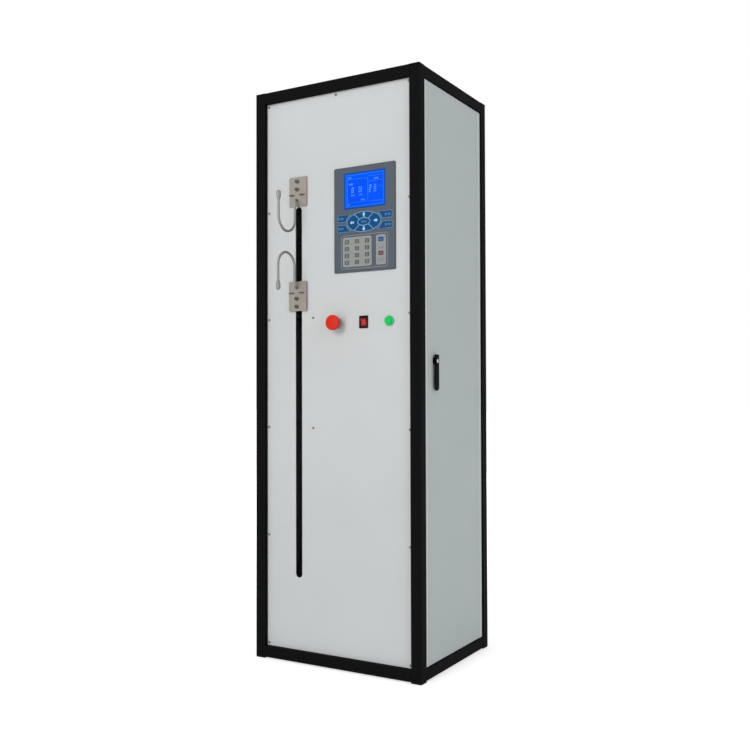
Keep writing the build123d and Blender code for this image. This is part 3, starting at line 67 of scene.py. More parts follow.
unit_low, unit_high = corners("control_housing")
unit_left, unit_bottom = unit_low.x, unit_low.z
unit_height = unit_high.z - unit_low.z
film_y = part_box("control_membrane")[0][1]
glass_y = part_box("lcd_window")[0][1]
panel_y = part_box("front_panel")[0][1]


# Materials

def linear(value):
    """One channel of a display colour, 0 to 255, as the linear value that Blender takes."""
    v = value / 255
    return v / 12.92 if v <= 0.04045 else ((v + 0.055) / 1.055) ** 2.4


def colour(red, green, blue):
    """A display colour as linear RGBA."""
    return (linear(red), linear(green), linear(blue), 1.0)


def shade(tint, factor):
    """A colour made darker or lighter by a factor."""
    return tuple(min(1.0, c * factor) for c in tint[:3]) + (1.0,)


class Finish:
    """A material that is built up from named node steps, all on Object coordinates."""

    def __init__(self, name, roughness=0.5, metallic=0.0, specular=0.5, coat=0.0):
        self.material = bpy.data.materials.new(name)
        self.material.use_nodes = True
        self.nodes = self.material.node_tree.nodes
        self.links = self.material.node_tree.links
        self.shader = self.nodes["Principled BSDF"]
        for label, value in (("Roughness", roughness), ("Metallic", metallic),
                             ("Specular IOR Level", specular), ("Coat Weight", coat)):
            self.shader.inputs[label].default_value = value
        self.place = self.nodes.new("ShaderNodeTexCoord").outputs["Object"]

    def stretched(self, scale):
        """Object coordinates, scaled by axis."""
        node = self.nodes.new("ShaderNodeMapping")
        node.inputs["Scale"].default_value = scale
        self.links.new(self.place, node.inputs["Vector"])
        return node.outputs["Vector"]

    def noise(self, scale, detail=3.0, rough=0.5, at=None):
        """A noise pattern between 0 and 1."""
        node = self.nodes.new("ShaderNodeTexNoise")
        for label, value in (("Scale", scale), ("Detail", detail), ("Roughness", rough)):
            node.inputs[label].default_value = value
        self.links.new(self.place if at is None else at, node.inputs["Vector"])
        return node.outputs["Fac"]

    def ramp(self, factor, stops):
        """Colours or greys along a factor; stops are (place, colour)."""
        node = self.nodes.new("ShaderNodeValToRGB")
        ends = node.color_ramp.elements
        while len(ends) < len(stops):
            ends.new(0.5)
        for end, (place, tint) in zip(ends, stops):
            end.position = place
            end.color = tint
        self.links.new(factor, node.inputs["Fac"])
        return node.outputs["Color"]

    def tones(self, factor, tint, low, high):
        """A colour that runs from one shade to another along a factor."""
        return self.ramp(factor, [(0.3, shade(tint, low)), (0.7, shade(tint, high))])

    def grey(self, factor, low, high):
        """A factor mapped to a range of numbers."""
        node = self.nodes.new("ShaderNodeMapRange")
        for label, value in (("From Min", 0.3), ("From Max", 0.7), ("To Min", low), ("To Max", high)):
            node.inputs[label].default_value = value
        self.links.new(factor, node.inputs["Value"])
        return node.outputs["Result"]

    def bump(self, height, strength, distance):
        """A bump on the shader's normal."""
        node = self.nodes.new("ShaderNodeBump")
        node.inputs["Strength"].default_value = strength
        node.inputs["Distance"].default_value = distance
        self.links.new(height, node.inputs["Height"])
        self.links.new(node.outputs["Normal"], self.shader.inputs["Normal"])

    def paint(self, output):
        self.links.new(output, self.shader.inputs["Base Color"])

    def gloss(self, output):
        self.links.new(output, self.shader.inputs["Roughness"])


def orange_peel(f, roughness, peel):
    """The dimpled skin and uneven gloss of powder coat."""
    f.gloss(f.grey(f.noise(9.0, 3.0), roughness - 0.05, roughness + 0.05))
    f.bump(f.noise(620.0, 2.0), peel, 0.0002)


def powder_coat(name, tint, roughness, mottle=0.025, peel=0.25, specular=0.25):
    """Powder coat: an orange-peel surface with faint clouds in its colour."""
    f = Finish(name, roughness=roughness, specular=specular)
    clouds = f.noise(3.2, 2.0)
    f.paint(f.tones(clouds, tint, 1 - mottle, 1 + mottle))
    orange_peel(f, roughness, peel)
    return f.material


def brushed(name, tint, roughness, along, contrast=0.10, metallic=0.9):
    """Brushed metal with fine scratches along one axis: 0 for X, 1 for Y, 2 for Z."""
    f = Finish(name, roughness=roughness, metallic=metallic)
    scale = [900.0, 900.0, 900.0]
    scale[along] = 14.0
    lines = f.noise(1.0, 4.0, 0.6, f.stretched(tuple(scale)))
    f.paint(f.tones(lines, tint, 1 - contrast, 1 + contrast))
    f.gloss(f.grey(lines, roughness - 0.07, roughness + 0.09))
    f.bump(lines, 0.12, 0.0001)
    return f.material


def moulded(name, tint, roughness, grain=0.12, coat=0.0, mottle=0.03, size=900.0, specular=0.25):
    """Moulded plastic or rubber: an even colour with a fine grain."""
    f = Finish(name, roughness=roughness, specular=specular, coat=coat)
    f.shader.inputs["Coat Roughness"].default_value = 0.08
    clouds = f.noise(40.0, 2.0)
    f.paint(f.tones(clouds, tint, 1 - mottle, 1 + mottle))
    f.gloss(f.grey(f.noise(120.0, 2.0), roughness - 0.03, roughness + 0.04))
    f.bump(f.noise(size, 2.0), grain, 0.00008)
    return f.material


def plated(name, tint, roughness, metallic=1.0):
    """Ground or plated steel with soft stains."""
    f = Finish(name, roughness=roughness, metallic=metallic)
    stains = f.noise(55.0, 4.0, 0.6)
    f.paint(f.tones(stains, tint, 0.9, 1.08))
    f.gloss(f.grey(f.noise(140.0, 3.0), roughness - 0.05, roughness + 0.07))
    return f.material


def lit(name, tint, strength=1.0):
    """A lit surface such as a display, with a slow drift of brightness."""
    f = Finish(name, roughness=0.35, specular=0.03)
    drift = f.noise(18.0, 1.0)
    glow = f.tones(drift, tint, 0.92, 1.06)
    f.paint(f.tones(drift, tint, 0.04, 0.06))
    f.links.new(glow, f.shader.inputs["Emission Color"])
    f.shader.inputs["Emission Strength"].default_value = strength
    return f.material


def maths(tree, operation, first, second):
    """The result of a Math node on two outputs, or on an output and a number."""
    node = tree.nodes.new("ShaderNodeMath")
    node.operation = operation
    for value, socket in zip((first, second), node.inputs):
        if isinstance(value, float):
            socket.default_value = value
        else:
            tree.links.new(value, socket)
    return node.outputs["Value"]


def edge_share(f, centre, half):
    """How far a point is from a piece's centre, as a share of its half size, by the largest axis."""
    step = f.place
    for operation, values in (("SUBTRACT", centre), ("ABSOLUTE", None), ("DIVIDE", half)):
        node = f.nodes.new("ShaderNodeVectorMath")
        node.operation = operation
        if values is not None:
            node.inputs[1].default_value = values
        f.links.new(step, node.inputs[0])
        step = node.outputs["Vector"]
    parts = f.nodes.new("ShaderNodeSeparateXYZ")
    f.links.new(step, parts.inputs["Vector"])
    tree = f.material.node_tree
    larger = maths(tree, "MAXIMUM", parts.outputs["X"], parts.outputs["Y"])
    return maths(tree, "MAXIMUM", larger, parts.outputs["Z"])


def door_coat(name, tint, roughness):
    """The door's powder coat, with a painted highlight: a paler strip along the two folded upright edges."""
    f = Finish(name, roughness=roughness, specular=0.25)
    low, high = corners("door_panel")
    share = edge_share(f, middle("door_panel"), (FAR, (high.y - low.y) / 2, FAR))
    # painted highlight: the paler strip along each upright edge stands in for light caught by the folded edge
    pale = shade(tint, 1.24)
    f.paint(f.ramp(share, [(0.0, tint), (0.925, tint), (0.940, pale), (1.0, pale)]))
    orange_peel(f, roughness, 0.25)
    return f.material


def rocker_coat(name):
    """The red rocker: clear red over its middle, with painted shade that darkens it towards its rim."""
    f = Finish(name, roughness=0.3, specular=0.15)
    low, high = corners("rocker")
    half = (high - low) / 2
    share = edge_share(f, middle("rocker"), (half.x, FAR, half.z))
    # painted shade: the red darkens from the middle towards the rim, where the rocker meets its bezel
    f.paint(f.ramp(share, [(0.0, colour(206, 58, 52)), (0.50, colour(190, 40, 36)),
                           (0.76, colour(134, 26, 22)), (0.93, colour(84, 14, 12)),
                           (1.0, colour(50, 10, 10))]))
    f.gloss(f.grey(f.noise(120.0, 2.0), 0.27, 0.34))
    return f.material


finishes = {
    "frame_paint": powder_coat("frame_satin_black", colour(19, 19, 20), 0.55, 0.05, 0.18, 0.012),
    "cover_paint": powder_coat("cover_light_grey", colour(203, 206, 206), 0.5),
    "door_paint": door_coat("door_light_grey", colour(194, 203, 203), 0.5),
    "zinc_plate": plated("zinc_plate", colour(168, 166, 158), 0.42),
    "bright_steel": plated("bright_steel", colour(176, 174, 170), 0.3),
    "chrome_rod": plated("bent_rod", colour(132, 133, 128), 0.42, 0.55),
    "hook_plate_steel": brushed("hook_plate_steel", colour(140, 134, 126), 0.5, 2, 0.07, 0.5),
    "machined_aluminium": brushed("machined_aluminium", colour(190, 192, 195), 0.38, 2, 0.06),
    "black_steel": powder_coat("black_steel", colour(34, 34, 35), 0.5, 0.05, 0.2),
    "lock_black": moulded("lock_black", colour(14, 14, 16), 0.45, 0.05, specular=0.012),
    "motor_black": powder_coat("motor_black", colour(38, 38, 40), 0.45, 0.06, 0.2),
    "bronze_bush": plated("sintered_bronze", colour(176, 134, 74), 0.5),
    "rubber_black": moulded("pad_rubber", colour(28, 28, 28), 0.8, 0.4),
    "unit_grey": moulded("unit_grey", colour(78, 83, 90), 0.5, 0.15),
    "membrane_print": moulded("keypad_film", colour(74, 84, 95), 0.42, 0.15, 0.0, 0.025),
    "lcd_blue": lit("display_blue", colour(0, 82, 248)),
    "estop_red": moulded("estop_red", colour(212, 44, 26), 0.42, 0.03, 0.0, 0.02, specular=0.12),
    "collar_grey": moulded("collar_grey", colour(150, 152, 158), 0.4, 0.05),
    "start_green": moulded("start_green", colour(8, 206, 92), 0.36, 0.03, 0.0, 0.02, specular=0.12),
    # the ring's paler green is partly its own colour and partly a painted highlight on its rim
    "ring_green": moulded("ring_green", colour(78, 204, 136), 0.36, 0.03, 0.0, 0.02, specular=0.15),
    "rocker_red": rocker_coat("rocker_red"),
    "black_plastic": moulded("black_plastic", colour(16, 15, 16), 0.45, 0.1, specular=0.08),
}
for row in frame["record"]["subparts"]:
    node = frame["nodes"][row["node"]]
    node.data.materials.clear()
    node.data.materials.append(finishes[row["material_slot"]])
plate_screw_steel = plated("plate_screw_black_oxide", colour(98, 96, 93), 0.26)
for name in ("upper_plate_screws", "lower_plate_screws"):
    frame["nodes"][name].material_slots[0].material = plate_screw_steel
frame["nodes"]["key_plug"].material_slots[0].material = plated("key_nickel", colour(200, 200, 198), 0.25)


# Mesh helpers

def mesh_of(name, bm):
    """A plain mesh from a bmesh, which is then freed."""
    mesh = bpy.data.meshes.new(name)
    bm.to_mesh(mesh)
    bm.free()
    return mesh


def as_object(name, mesh):
    """An object at the origin that holds a mesh."""
    thing = bpy.data.objects.new(name, mesh)
    bpy.context.scene.collection.objects.link(thing)
    return thing


def as_piece(name, mesh, material, body):
    """A finished piece from a plain mesh, with its finish, on a body."""
    if not mesh.materials:
        mesh.materials.append(material)
    piece = as_object(name, mesh)
    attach(piece, body)
    return piece


def finished(name, bm, material, body):
    """A finished piece from a bmesh."""
    return as_piece(name, mesh_of(name, bm), material, body)


def on_unit(u, v):
    """A point of the control unit's face, in mm from its lower left corner, as X and Z in metres."""
    return (unit_left + u * MM, unit_bottom + v * unit_height / FACE_HEIGHT)


def walls(bm, low, high):
    """Faces between two closed rings with as many points each."""
    for i in range(len(low)):
        j = (i + 1) % len(low)
        bm.faces.new((low[i], low[j], high[j], high[i]))


def slab(bm, outline, back, front):
    """A flat piece that faces -Y, from an outline of X and Z points that runs anticlockwise."""
    near = [bm.verts.new((x, front, z)) for x, z in outline]
    far = [bm.verts.new((x, back, z)) for x, z in outline]
    bm.faces.new(near)
    bm.faces.new(list(reversed(far)))
    walls(bm, far, near)


def band(bm, outer, inner, back, front):
    """A flat closed band that faces -Y, between two outlines with as many points each."""
    rings = []
    for outline, y in ((outer, front), (inner, front), (inner, back), (outer, back)):
        rings.append([bm.verts.new((x, y, z)) for x, z in outline])
    for here, there in zip(rings, rings[1:] + rings[:1]):
        walls(bm, here, there)


def rounded_box(left, bottom, right, top, radius, steps=5):
    """A rectangle with round corners, anticlockwise, as points."""
    corners = ((right - radius, top - radius, 0), (left + radius, top - radius, 90),
               (left + radius, bottom + radius, 180), (right - radius, bottom + radius, 270))
    points = []
    for cx, cy, start in corners:
        for i in range(steps + 1):
            a = radians(start + 90 * i / steps)
            points.append((cx + radius * cos(a), cy + radius * sin(a)))
    return points


def box_about(u, v, half_w, half_h, radius, steps=2):
    """A rectangle with round corners about a point."""
    return rounded_box(u - half_w, v - half_h, u + half_w, v + half_h, radius, steps)


def ellipse(cx, cy, rx, ry, start=0.0, end=360.0, steps=48):
    """Points on an ellipse between two angles, in degrees."""
    closed = abs(end - start) >= 360
    count = steps if closed else steps + 1
    return [(cx + rx * cos(radians(start + (end - start) * i / steps)),
             cy + ry * sin(radians(start + (end - start) * i / steps))) for i in range(count)]


def placed(outline):
    """Unit-face points in mm as X and Z in metres."""
    return [on_unit(u, v) for u, v in outline]


def shrunk(outline, by):
    """An outline moved inwards by a distance, point by point."""
    count = len(outline)
    points = []
    for i in range(count):
        before, here, after = outline[i - 1], outline[i], outline[(i + 1) % count]
        n = Vector((0.0, 0.0))
        for a, b in ((before, here), (here, after)):
            d = Vector((b[0] - a[0], b[1] - a[1]))
            if d.length > 1e-9:
                d.normalize()
                n += Vector((-d.y, d.x))
        n.normalize()
        points.append((here[0] + n.x * by, here[1] + n.y * by))
    return points


def anticlockwise(outline):
    """The same outline, turned to run anticlockwise."""
    area = sum(a[0] * b[1] - b[0] * a[1] for a, b in zip(outline, outline[1:] + outline[:1]))
    return outline if area > 0 else list(reversed(outline))


# Repeats: Geometry Nodes set a shape on a grid or on given points, and wind the screw's thread

def new_tree(name, inputs):
    """A tree with named inputs; gives it with each input's identifier."""
    tree = bpy.data.node_groups.new(name, "GeometryNodeTree")
    tree.interface.new_socket("Geometry", in_out="INPUT", socket_type="NodeSocketGeometry")
    sockets = {}
    for label, kind in inputs:
        socket = tree.interface.new_socket(label, in_out="INPUT", socket_type="NodeSocket" + kind)
        sockets[label] = socket.identifier
    tree.interface.new_socket("Geometry", in_out="OUTPUT", socket_type="NodeSocketGeometry")
    return tree, sockets


def close_tree(tree, geometry, material):
    """Ends a tree: its instances made real, and its material set."""
    real = tree.nodes.new("GeometryNodeRealizeInstances")
    finish = tree.nodes.new("GeometryNodeSetMaterial")
    finish.inputs["Material"].default_value = material
    end = tree.nodes.new("NodeGroupOutput")
    tree.links.new(geometry, real.inputs["Geometry"])
    tree.links.new(real.outputs["Geometry"], finish.inputs["Geometry"])
    tree.links.new(finish.outputs["Geometry"], end.inputs["Geometry"])


def grid_tree(name, material):
    """A shape on the points of a grid, in X and Y, centred on the origin."""
    tree, sockets = new_tree(name, [("Shape", "Object"), ("Columns", "Int"), ("Rows", "Int"),
                                    ("Column pitch", "Float"), ("Row pitch", "Float")])
    nodes, links = tree.nodes, tree.links
    start = nodes.new("NodeGroupInput")
    grid = nodes.new("GeometryNodeMeshGrid")
    for count, pitch, size, points in (("Columns", "Column pitch", "Size X", "Vertices X"),
                                       ("Rows", "Row pitch", "Size Y", "Vertices Y")):
        gaps = maths(tree, "SUBTRACT", start.outputs[count], 1.0)
        links.new(maths(tree, "MULTIPLY", gaps, start.outputs[pitch]), grid.inputs[size])
        links.new(start.outputs[count], grid.inputs[points])
    info = nodes.new("GeometryNodeObjectInfo")
    place = nodes.new("GeometryNodeInstanceOnPoints")
    links.new(start.outputs["Shape"], info.inputs["Object"])
    links.new(grid.outputs["Mesh"], place.inputs["Points"])
    links.new(info.outputs["Geometry"], place.inputs["Instance"])
    close_tree(tree, place.outputs["Instances"], material)
    return tree, sockets


def points_tree(name, material):
    """A shape on the carrier's points, turned to each point's facing, with a seeded turn about it."""
    tree, sockets = new_tree(name, [("Shape", "Object"), ("Turn spread", "Float"), ("Seed", "Int")])
    nodes, links = tree.nodes, tree.links
    start = nodes.new("NodeGroupInput")
    info = nodes.new("GeometryNodeObjectInfo")
    place = nodes.new("GeometryNodeInstanceOnPoints")
    facing = nodes.new("GeometryNodeInputNamedAttribute")
    facing.data_type = "FLOAT_VECTOR"
    facing.inputs["Name"].default_value = "facing"
    align = nodes.new("FunctionNodeAlignRotationToVector")
    align.axis = "Z"
    angle = nodes.new("FunctionNodeRandomValue")
    angle.data_type = "FLOAT"
    about = nodes.new("ShaderNodeCombineXYZ")
    turn = nodes.new("GeometryNodeRotateInstances")
    links.new(start.outputs["Geometry"], place.inputs["Points"])
    links.new(start.outputs["Shape"], info.inputs["Object"])
    links.new(info.outputs["Geometry"], place.inputs["Instance"])
    links.new(facing.outputs[0], align.inputs["Vector"])
    links.new(align.outputs["Rotation"], place.inputs["Rotation"])
    links.new(start.outputs["Turn spread"], angle.inputs["Max"])
    links.new(start.outputs["Seed"], angle.inputs["Seed"])
    links.new(angle.outputs[1], about.inputs["Z"])
    links.new(about.outputs["Vector"], turn.inputs["Rotation"])
    links.new(place.outputs["Instances"], turn.inputs["Instances"])
    close_tree(tree, turn.outputs["Instances"], material)
    return tree, sockets


def thread_tree(name, material):
    """A round ridge wound about Z, from its radius, pitch, length, thickness and steps a turn."""
    tree, sockets = new_tree(name, [("Radius", "Float"), ("Pitch", "Float"), ("Length", "Float"),
                                    ("Ridge", "Float"), ("Steps", "Int")])
    nodes, links = tree.nodes, tree.links
    start = nodes.new("NodeGroupInput")
    turns = maths(tree, "DIVIDE", start.outputs["Length"], start.outputs["Pitch"])
    spiral = nodes.new("GeometryNodeCurveSpiral")
    section = nodes.new("GeometryNodeCurvePrimitiveCircle")
    section.inputs["Resolution"].default_value = 6
    sweep = nodes.new("GeometryNodeCurveToMesh")
    sweep.inputs["Fill Caps"].default_value = True
    links.new(turns, spiral.inputs["Rotations"])
    for label, node, socket in (("Radius", spiral, "Start Radius"), ("Radius", spiral, "End Radius"),
                                ("Length", spiral, "Height"), ("Steps", spiral, "Resolution"),
                                ("Ridge", section, "Radius")):
        links.new(start.outputs[label], node.inputs[socket])
    links.new(spiral.outputs["Curve"], sweep.inputs["Curve"])
    links.new(section.outputs["Curve"], sweep.inputs["Profile Curve"])
    close_tree(tree, sweep.outputs["Mesh"], material)
    return tree, sockets


def run_tree(name, carrier_mesh, tree, values):
    """The result of a tree on a carrier, as one plain mesh. Values go by the sockets' identifiers."""
    carrier = as_object(name + "_carrier", carrier_mesh)
    modifier = carrier.modifiers.new("repeat", "NODES")
    modifier.node_group = tree
    for identifier, value in values.items():
        modifier[identifier] = value
    graph = bpy.context.evaluated_depsgraph_get()
    mesh = bpy.data.meshes.new_from_object(carrier.evaluated_get(graph))
    mesh.name = name
    bpy.data.objects.remove(carrier)
    return mesh


def standing(place, right, outward):
    """The turn that lays a shape's X along right and its Z along outward, at a place."""
    right, outward = Vector(right), Vector(outward)
    up = outward.cross(right)
    return Matrix.Translation(place) @ Matrix((right, up, outward)).transposed().to_4x4()


def set_grid(name, shape_mesh, material, slot, counts, pitches, place, right=(1, 0, 0), outward=(0, -1, 0)):
    """A grid of equal shapes on the cabinet, centred on a place."""
    shape = as_object(name + "_shape", shape_mesh)
    tree, sockets = grid_tree(name + "_tree", material)
    mesh = run_tree(name, bpy.data.meshes.new(name + "_start"), tree, {
        sockets["Shape"]: shape, sockets["Columns"]: counts[0], sockets["Rows"]: counts[1],
        sockets["Column pitch"]: pitches[0], sockets["Row pitch"]: pitches[1],
    })
    bpy.data.objects.remove(shape)
    mesh.transform(standing(place, right, outward))
    return as_piece(name, mesh, material, "cabinet")


def set_out(name, shape_mesh, places, material, node_name, seed):
    """Sets a shape on (point, facing) places of the cabinet, in the stead of a CAD node."""
    carrier_mesh = bpy.data.meshes.new(name + "_points")
    carrier_mesh.from_pydata([point for point, _ in places], [], [])
    facing = carrier_mesh.attributes.new("facing", "FLOAT_VECTOR", "POINT")
    for i, (_, direction) in enumerate(places):
        facing.data[i].vector = direction
    shape = as_object(name + "_shape", shape_mesh)
    tree, sockets = points_tree(name + "_tree", material)
    mesh = run_tree(name, carrier_mesh, tree, {
        sockets["Shape"]: shape, sockets["Turn spread"]: 2 * pi, sockets["Seed"]: seed,
    })
    bpy.data.objects.remove(shape)
    piece = as_piece(name, mesh, material, "cabinet")
    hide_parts(node_name)
    return piece


def pad_mesh(name, outline, height, bevel):
    """A low pad with a bevelled rim, in X and Y with its top along Z, from an outline."""
    bm = bmesh.new()
    rings = []
    for points, z in ((outline, 0.0), (outline, height - bevel), (shrunk(outline, bevel), height)):
        rings.append([bm.verts.new((x, y, z)) for x, y in points])
    for low, high in zip(rings, rings[1:]):
        walls(bm, low, high)
    bm.faces.new(rings[-1])
    bm.faces.new(list(reversed(rings[0])))
    return mesh_of(name, bm)


# Figures: plain numbers made of seven strokes

strokes_of = {
    "0": "abcdef", "1": "bc", "2": "abged", "3": "abgcd", "4": "fgbc",
    "5": "afgcd", "6": "afgedc", "7": "abc", "8": "abcdefg", "9": "abcdfg",
}


def figure(digit, left, bottom, width, height, stroke):
    """The strokes of one figure, as outlines."""
    right, top, half = left + width, bottom + height, bottom + height / 2
    strokes = {
        "a": (left, top - stroke, right, top),
        "g": (left, half - stroke / 2, right, half + stroke / 2),
        "d": (left, bottom, right, bottom + stroke),
        "f": (left, half, left + stroke, top),
        "e": (left, bottom, left + stroke, half),
        "b": (right - stroke, half, right, top),
        "c": (right - stroke, bottom, right, half),
    }
    return [corners_of(*strokes[name]) for name in strokes_of[digit]]


def corners_of(left, bottom, right, top):
    """A rectangle's corners, anticlockwise."""
    return [(left, bottom), (right, bottom), (right, top), (left, top)]


# Keypad on the control unit. Its places and sizes are in mm, from the lower left corner of the
# unit's face.

PRINT = 0.08 * MM
KEY_RELIEF = 0.25 * MM
PLATE_RELIEF = 0.15 * MM
FACE_RELIEF = 0.06 * MM
SUNK = 0.02 * MM
nav_centre = (92.0, 129.8)
nav_rx, nav_ry = 51.8, 26.9
oval_rx, oval_ry = 17.6, 8.8
oval_line = 2.2
ring_line = 1.7
key_line = 1.3
bar_outer, bar_inner, bar_half = 55.0, 45.0, 1.05
side_reach, side_rise = 2.2, 5.6
side_keys_left, side_keys_right = 10.2, 176.6
upper_keys, lower_keys = (133.0, 152.0), (106.6, 125.6)
number_keys = (70.8, 52.7)
number_pitch = (30.85, 18.05)
number_size = (6.3, 5.3)
number_face = 3.7
figure_w, figure_h, figure_stroke = 3.0, 4.8, 0.8
keypad_line = (22.0, 8.6, 163.5, 96.9)
keypad_line_width, plate_line_width = 1.3, 1.4
number_plate, column_plate = (27.7, 14.6, 114.8, 91.5), (128.8, 14.6, 157.3, 91.3)
column_x = 143.1
column_levels = (79.7, 59.0, 44.1, 26.5)
column_key = (7.4, 5.4)

print_light = moulded("print_pale_blue", colour(116, 154, 186), 0.4, 0.1)
print_blue = moulded("key_blue", colour(0, 74, 126), 0.42, 0.1, 0.0, 0.03, specular=0.1)
print_white = moulded("print_white", colour(168, 206, 236), 0.4, 0.1)
print_grey = moulded("print_grey_line", colour(138, 144, 152), 0.45, 0.1)
plate_tone = moulded("keypad_plate", colour(142, 144, 140), 0.45, 0.12, 0.0, 0.03)
plate_rim = moulded("keypad_plate_rim", colour(160, 163, 160), 0.45, 0.1)
key_dark = moulded("key_dark", colour(62, 66, 72), 0.42, 0.1)
key_face = moulded("key_face", colour(122, 126, 132), 0.42, 0.1)
key_ink = moulded("key_ink", colour(48, 50, 56), 0.42, 0.1)
key_red = moulded("key_red", colour(170, 48, 70), 0.42, 0.1)
key_cyan = moulded("key_light_blue", colour(60, 122, 176), 0.42, 0.1)
border_print = moulded("display_border_print", colour(0, 74, 166), 0.4, 0.1, specular=0.1)


def relief(name, outlines, material, height=KEY_RELIEF, base=0.0):
    """Raised areas of the keypad film, as one piece."""
    bm = bmesh.new()
    for outline in outlines:
        slab(bm, placed(anticlockwise(outline)), film_y - base + SUNK, film_y - base - height)
    return finished(name, bm, material, "cabinet")


def line_art(name, pairs, material, height=PRINT, base=0.0):
    """Printed lines, as closed bands between pairs of outlines."""
    bm = bmesh.new()
    for outer, inner in pairs:
        band(bm, placed(outer), placed(inner), film_y - base + SUNK, film_y - base - height)
    return finished(name, bm, material, "cabinet")


def nav_segment(start, end):
    """One quarter of the arrow ring, between two angles; its sides run as the bars do."""
    cx, cy = nav_centre
    lean = bar_outer - bar_inner
    inward = 1 if cos(radians((start + end) / 2)) ** 2 > 0.5 else -1
    outer = ellipse(cx, cy, nav_rx - ring_line, nav_ry - ring_line, start, end, 20)
    inner = ellipse(cx, cy, oval_rx + oval_line, oval_ry + oval_line,
                    end - inward * lean, start + inward * lean, 20)
    return outer + inner


def arrow(cx, cy, angle):
    """A short fat arrow that points along an angle."""
    tail, neck, tip, thin, wide = -6.0, 0.2, 6.2, 2.2, 5.0
    shape = [(tail, -thin), (neck, -thin), (neck, -wide), (tip, 0.0),
             (neck, wide), (neck, thin), (tail, thin)]
    c, s = cos(radians(angle)), sin(radians(angle))
    return [(cx + (x * c - y * s), cy + (x * s + y * c)) for x, y in shape]


def side_key(side, levels):
    """A side key whose inner edge follows the arrow ring; side is -1 for left and 1 for right."""
    cx, cy = nav_centre
    outer_u = side_keys_right if side > 0 else side_keys_left
    low, high = levels
    steps = 8
    edge = []
    for i in range(steps + 1):
        v = low + (high - low) * i / steps
        reach = sqrt(max(0.0, 1 - ((v - cy) / (nav_ry + side_rise)) ** 2))
        edge.append((cx + side * (nav_rx + side_reach) * reach, v))
    return anticlockwise(edge + [(outer_u, high), (outer_u, low)])


def side_keys():
    """The four keys beside the arrow ring, their rims and their blank marks."""
    keys = [side_key(side, levels) for side in (-1, 1) for levels in (upper_keys, lower_keys)]
    line_art("side_key_rims", [(key, shrunk(key, key_line)) for key in keys], print_light)
    relief("side_keys", [shrunk(key, key_line) for key in keys], print_blue)
    mark_reach, mark_pitch, mark_w, mark_h, mark_radius, mark_line = 71.0, 4.6, 3.1, 2.7, 0.8, 1.0
    marks = []
    for side in (-1, 1):
        for low, high in (upper_keys, lower_keys):
            for k in (-1, 1):
                u = nav_centre[0] + side * mark_reach + mark_pitch * k
                marks.append(box_about(u, (low + high) / 2, mark_w, mark_h, mark_radius))
    line_art("side_key_marks", [(mark, shrunk(mark, mark_line)) for mark in marks], print_light,
             PRINT, KEY_RELIEF)


def arrow_ring():
    """The oval key, the ring of four arrow keys about it and their printed lines."""
    cx, cy = nav_centre
    ring = ellipse(cx, cy, nav_rx, nav_ry)
    ring_inside = ellipse(cx, cy, nav_rx - ring_line, nav_ry - ring_line)
    oval = ellipse(cx, cy, oval_rx + oval_line, oval_ry + oval_line)
    oval_inside = ellipse(cx, cy, oval_rx, oval_ry)
    line_art("arrow_ring_lines", [(ring, ring_inside), (oval, oval_inside)], print_light)
    segments = [nav_segment(start, end) for start, end in (
        (-bar_outer, bar_outer), (bar_outer, 180 - bar_outer),
        (180 - bar_outer, 180 + bar_outer), (180 + bar_outer, 360 - bar_outer))]
    relief("arrow_keys", segments, print_blue)
    bars = []
    for quadrant in (bar_outer, 180 - bar_outer, 180 + bar_outer, 360 - bar_outer):
        lean = bar_outer - bar_inner
        inward = 1 if sin(radians(quadrant)) * cos(radians(quadrant)) > 0 else -1
        a, b = radians(quadrant - inward * lean), radians(quadrant)
        start = Vector((cx + (oval_rx + oval_line / 2) * cos(a), cy + (oval_ry + oval_line / 2) * sin(a)))
        end = Vector((cx + (nav_rx - ring_line / 2) * cos(b), cy + (nav_ry - ring_line / 2) * sin(b)))
        side = Vector((-(end - start).y, (end - start).x)).normalized() * bar_half
        bars.append([tuple(point) for point in (start - side, end - side, end + side, start + side)])
    relief("arrow_ring_bars", bars, print_light, KEY_RELIEF + PRINT)
    oval_gap = 0.3
    relief("oval_key", [ellipse(cx, cy, oval_rx - oval_gap, oval_ry - oval_gap)], print_blue)
    across, along = 36.0, 18.4
    arrows = [arrow(cx + across * cos(radians(a)), cy + along * sin(radians(a)), a) for a in (0, 90, 180, 270)]
    relief("arrow_signs", arrows, print_white, PRINT, KEY_RELIEF)
    mark_w, mark_h, mark_pitch, mark_radius, mark_line = 2.1, 2.3, 6.0, 0.7, 0.8
    marks = [box_about(cx + mark_pitch * k, cy, mark_w, mark_h, mark_radius) for k in (-1, 0, 1)]
    line_art("oval_key_marks", [(mark, shrunk(mark, mark_line)) for mark in marks], print_light,
             PRINT, KEY_RELIEF)


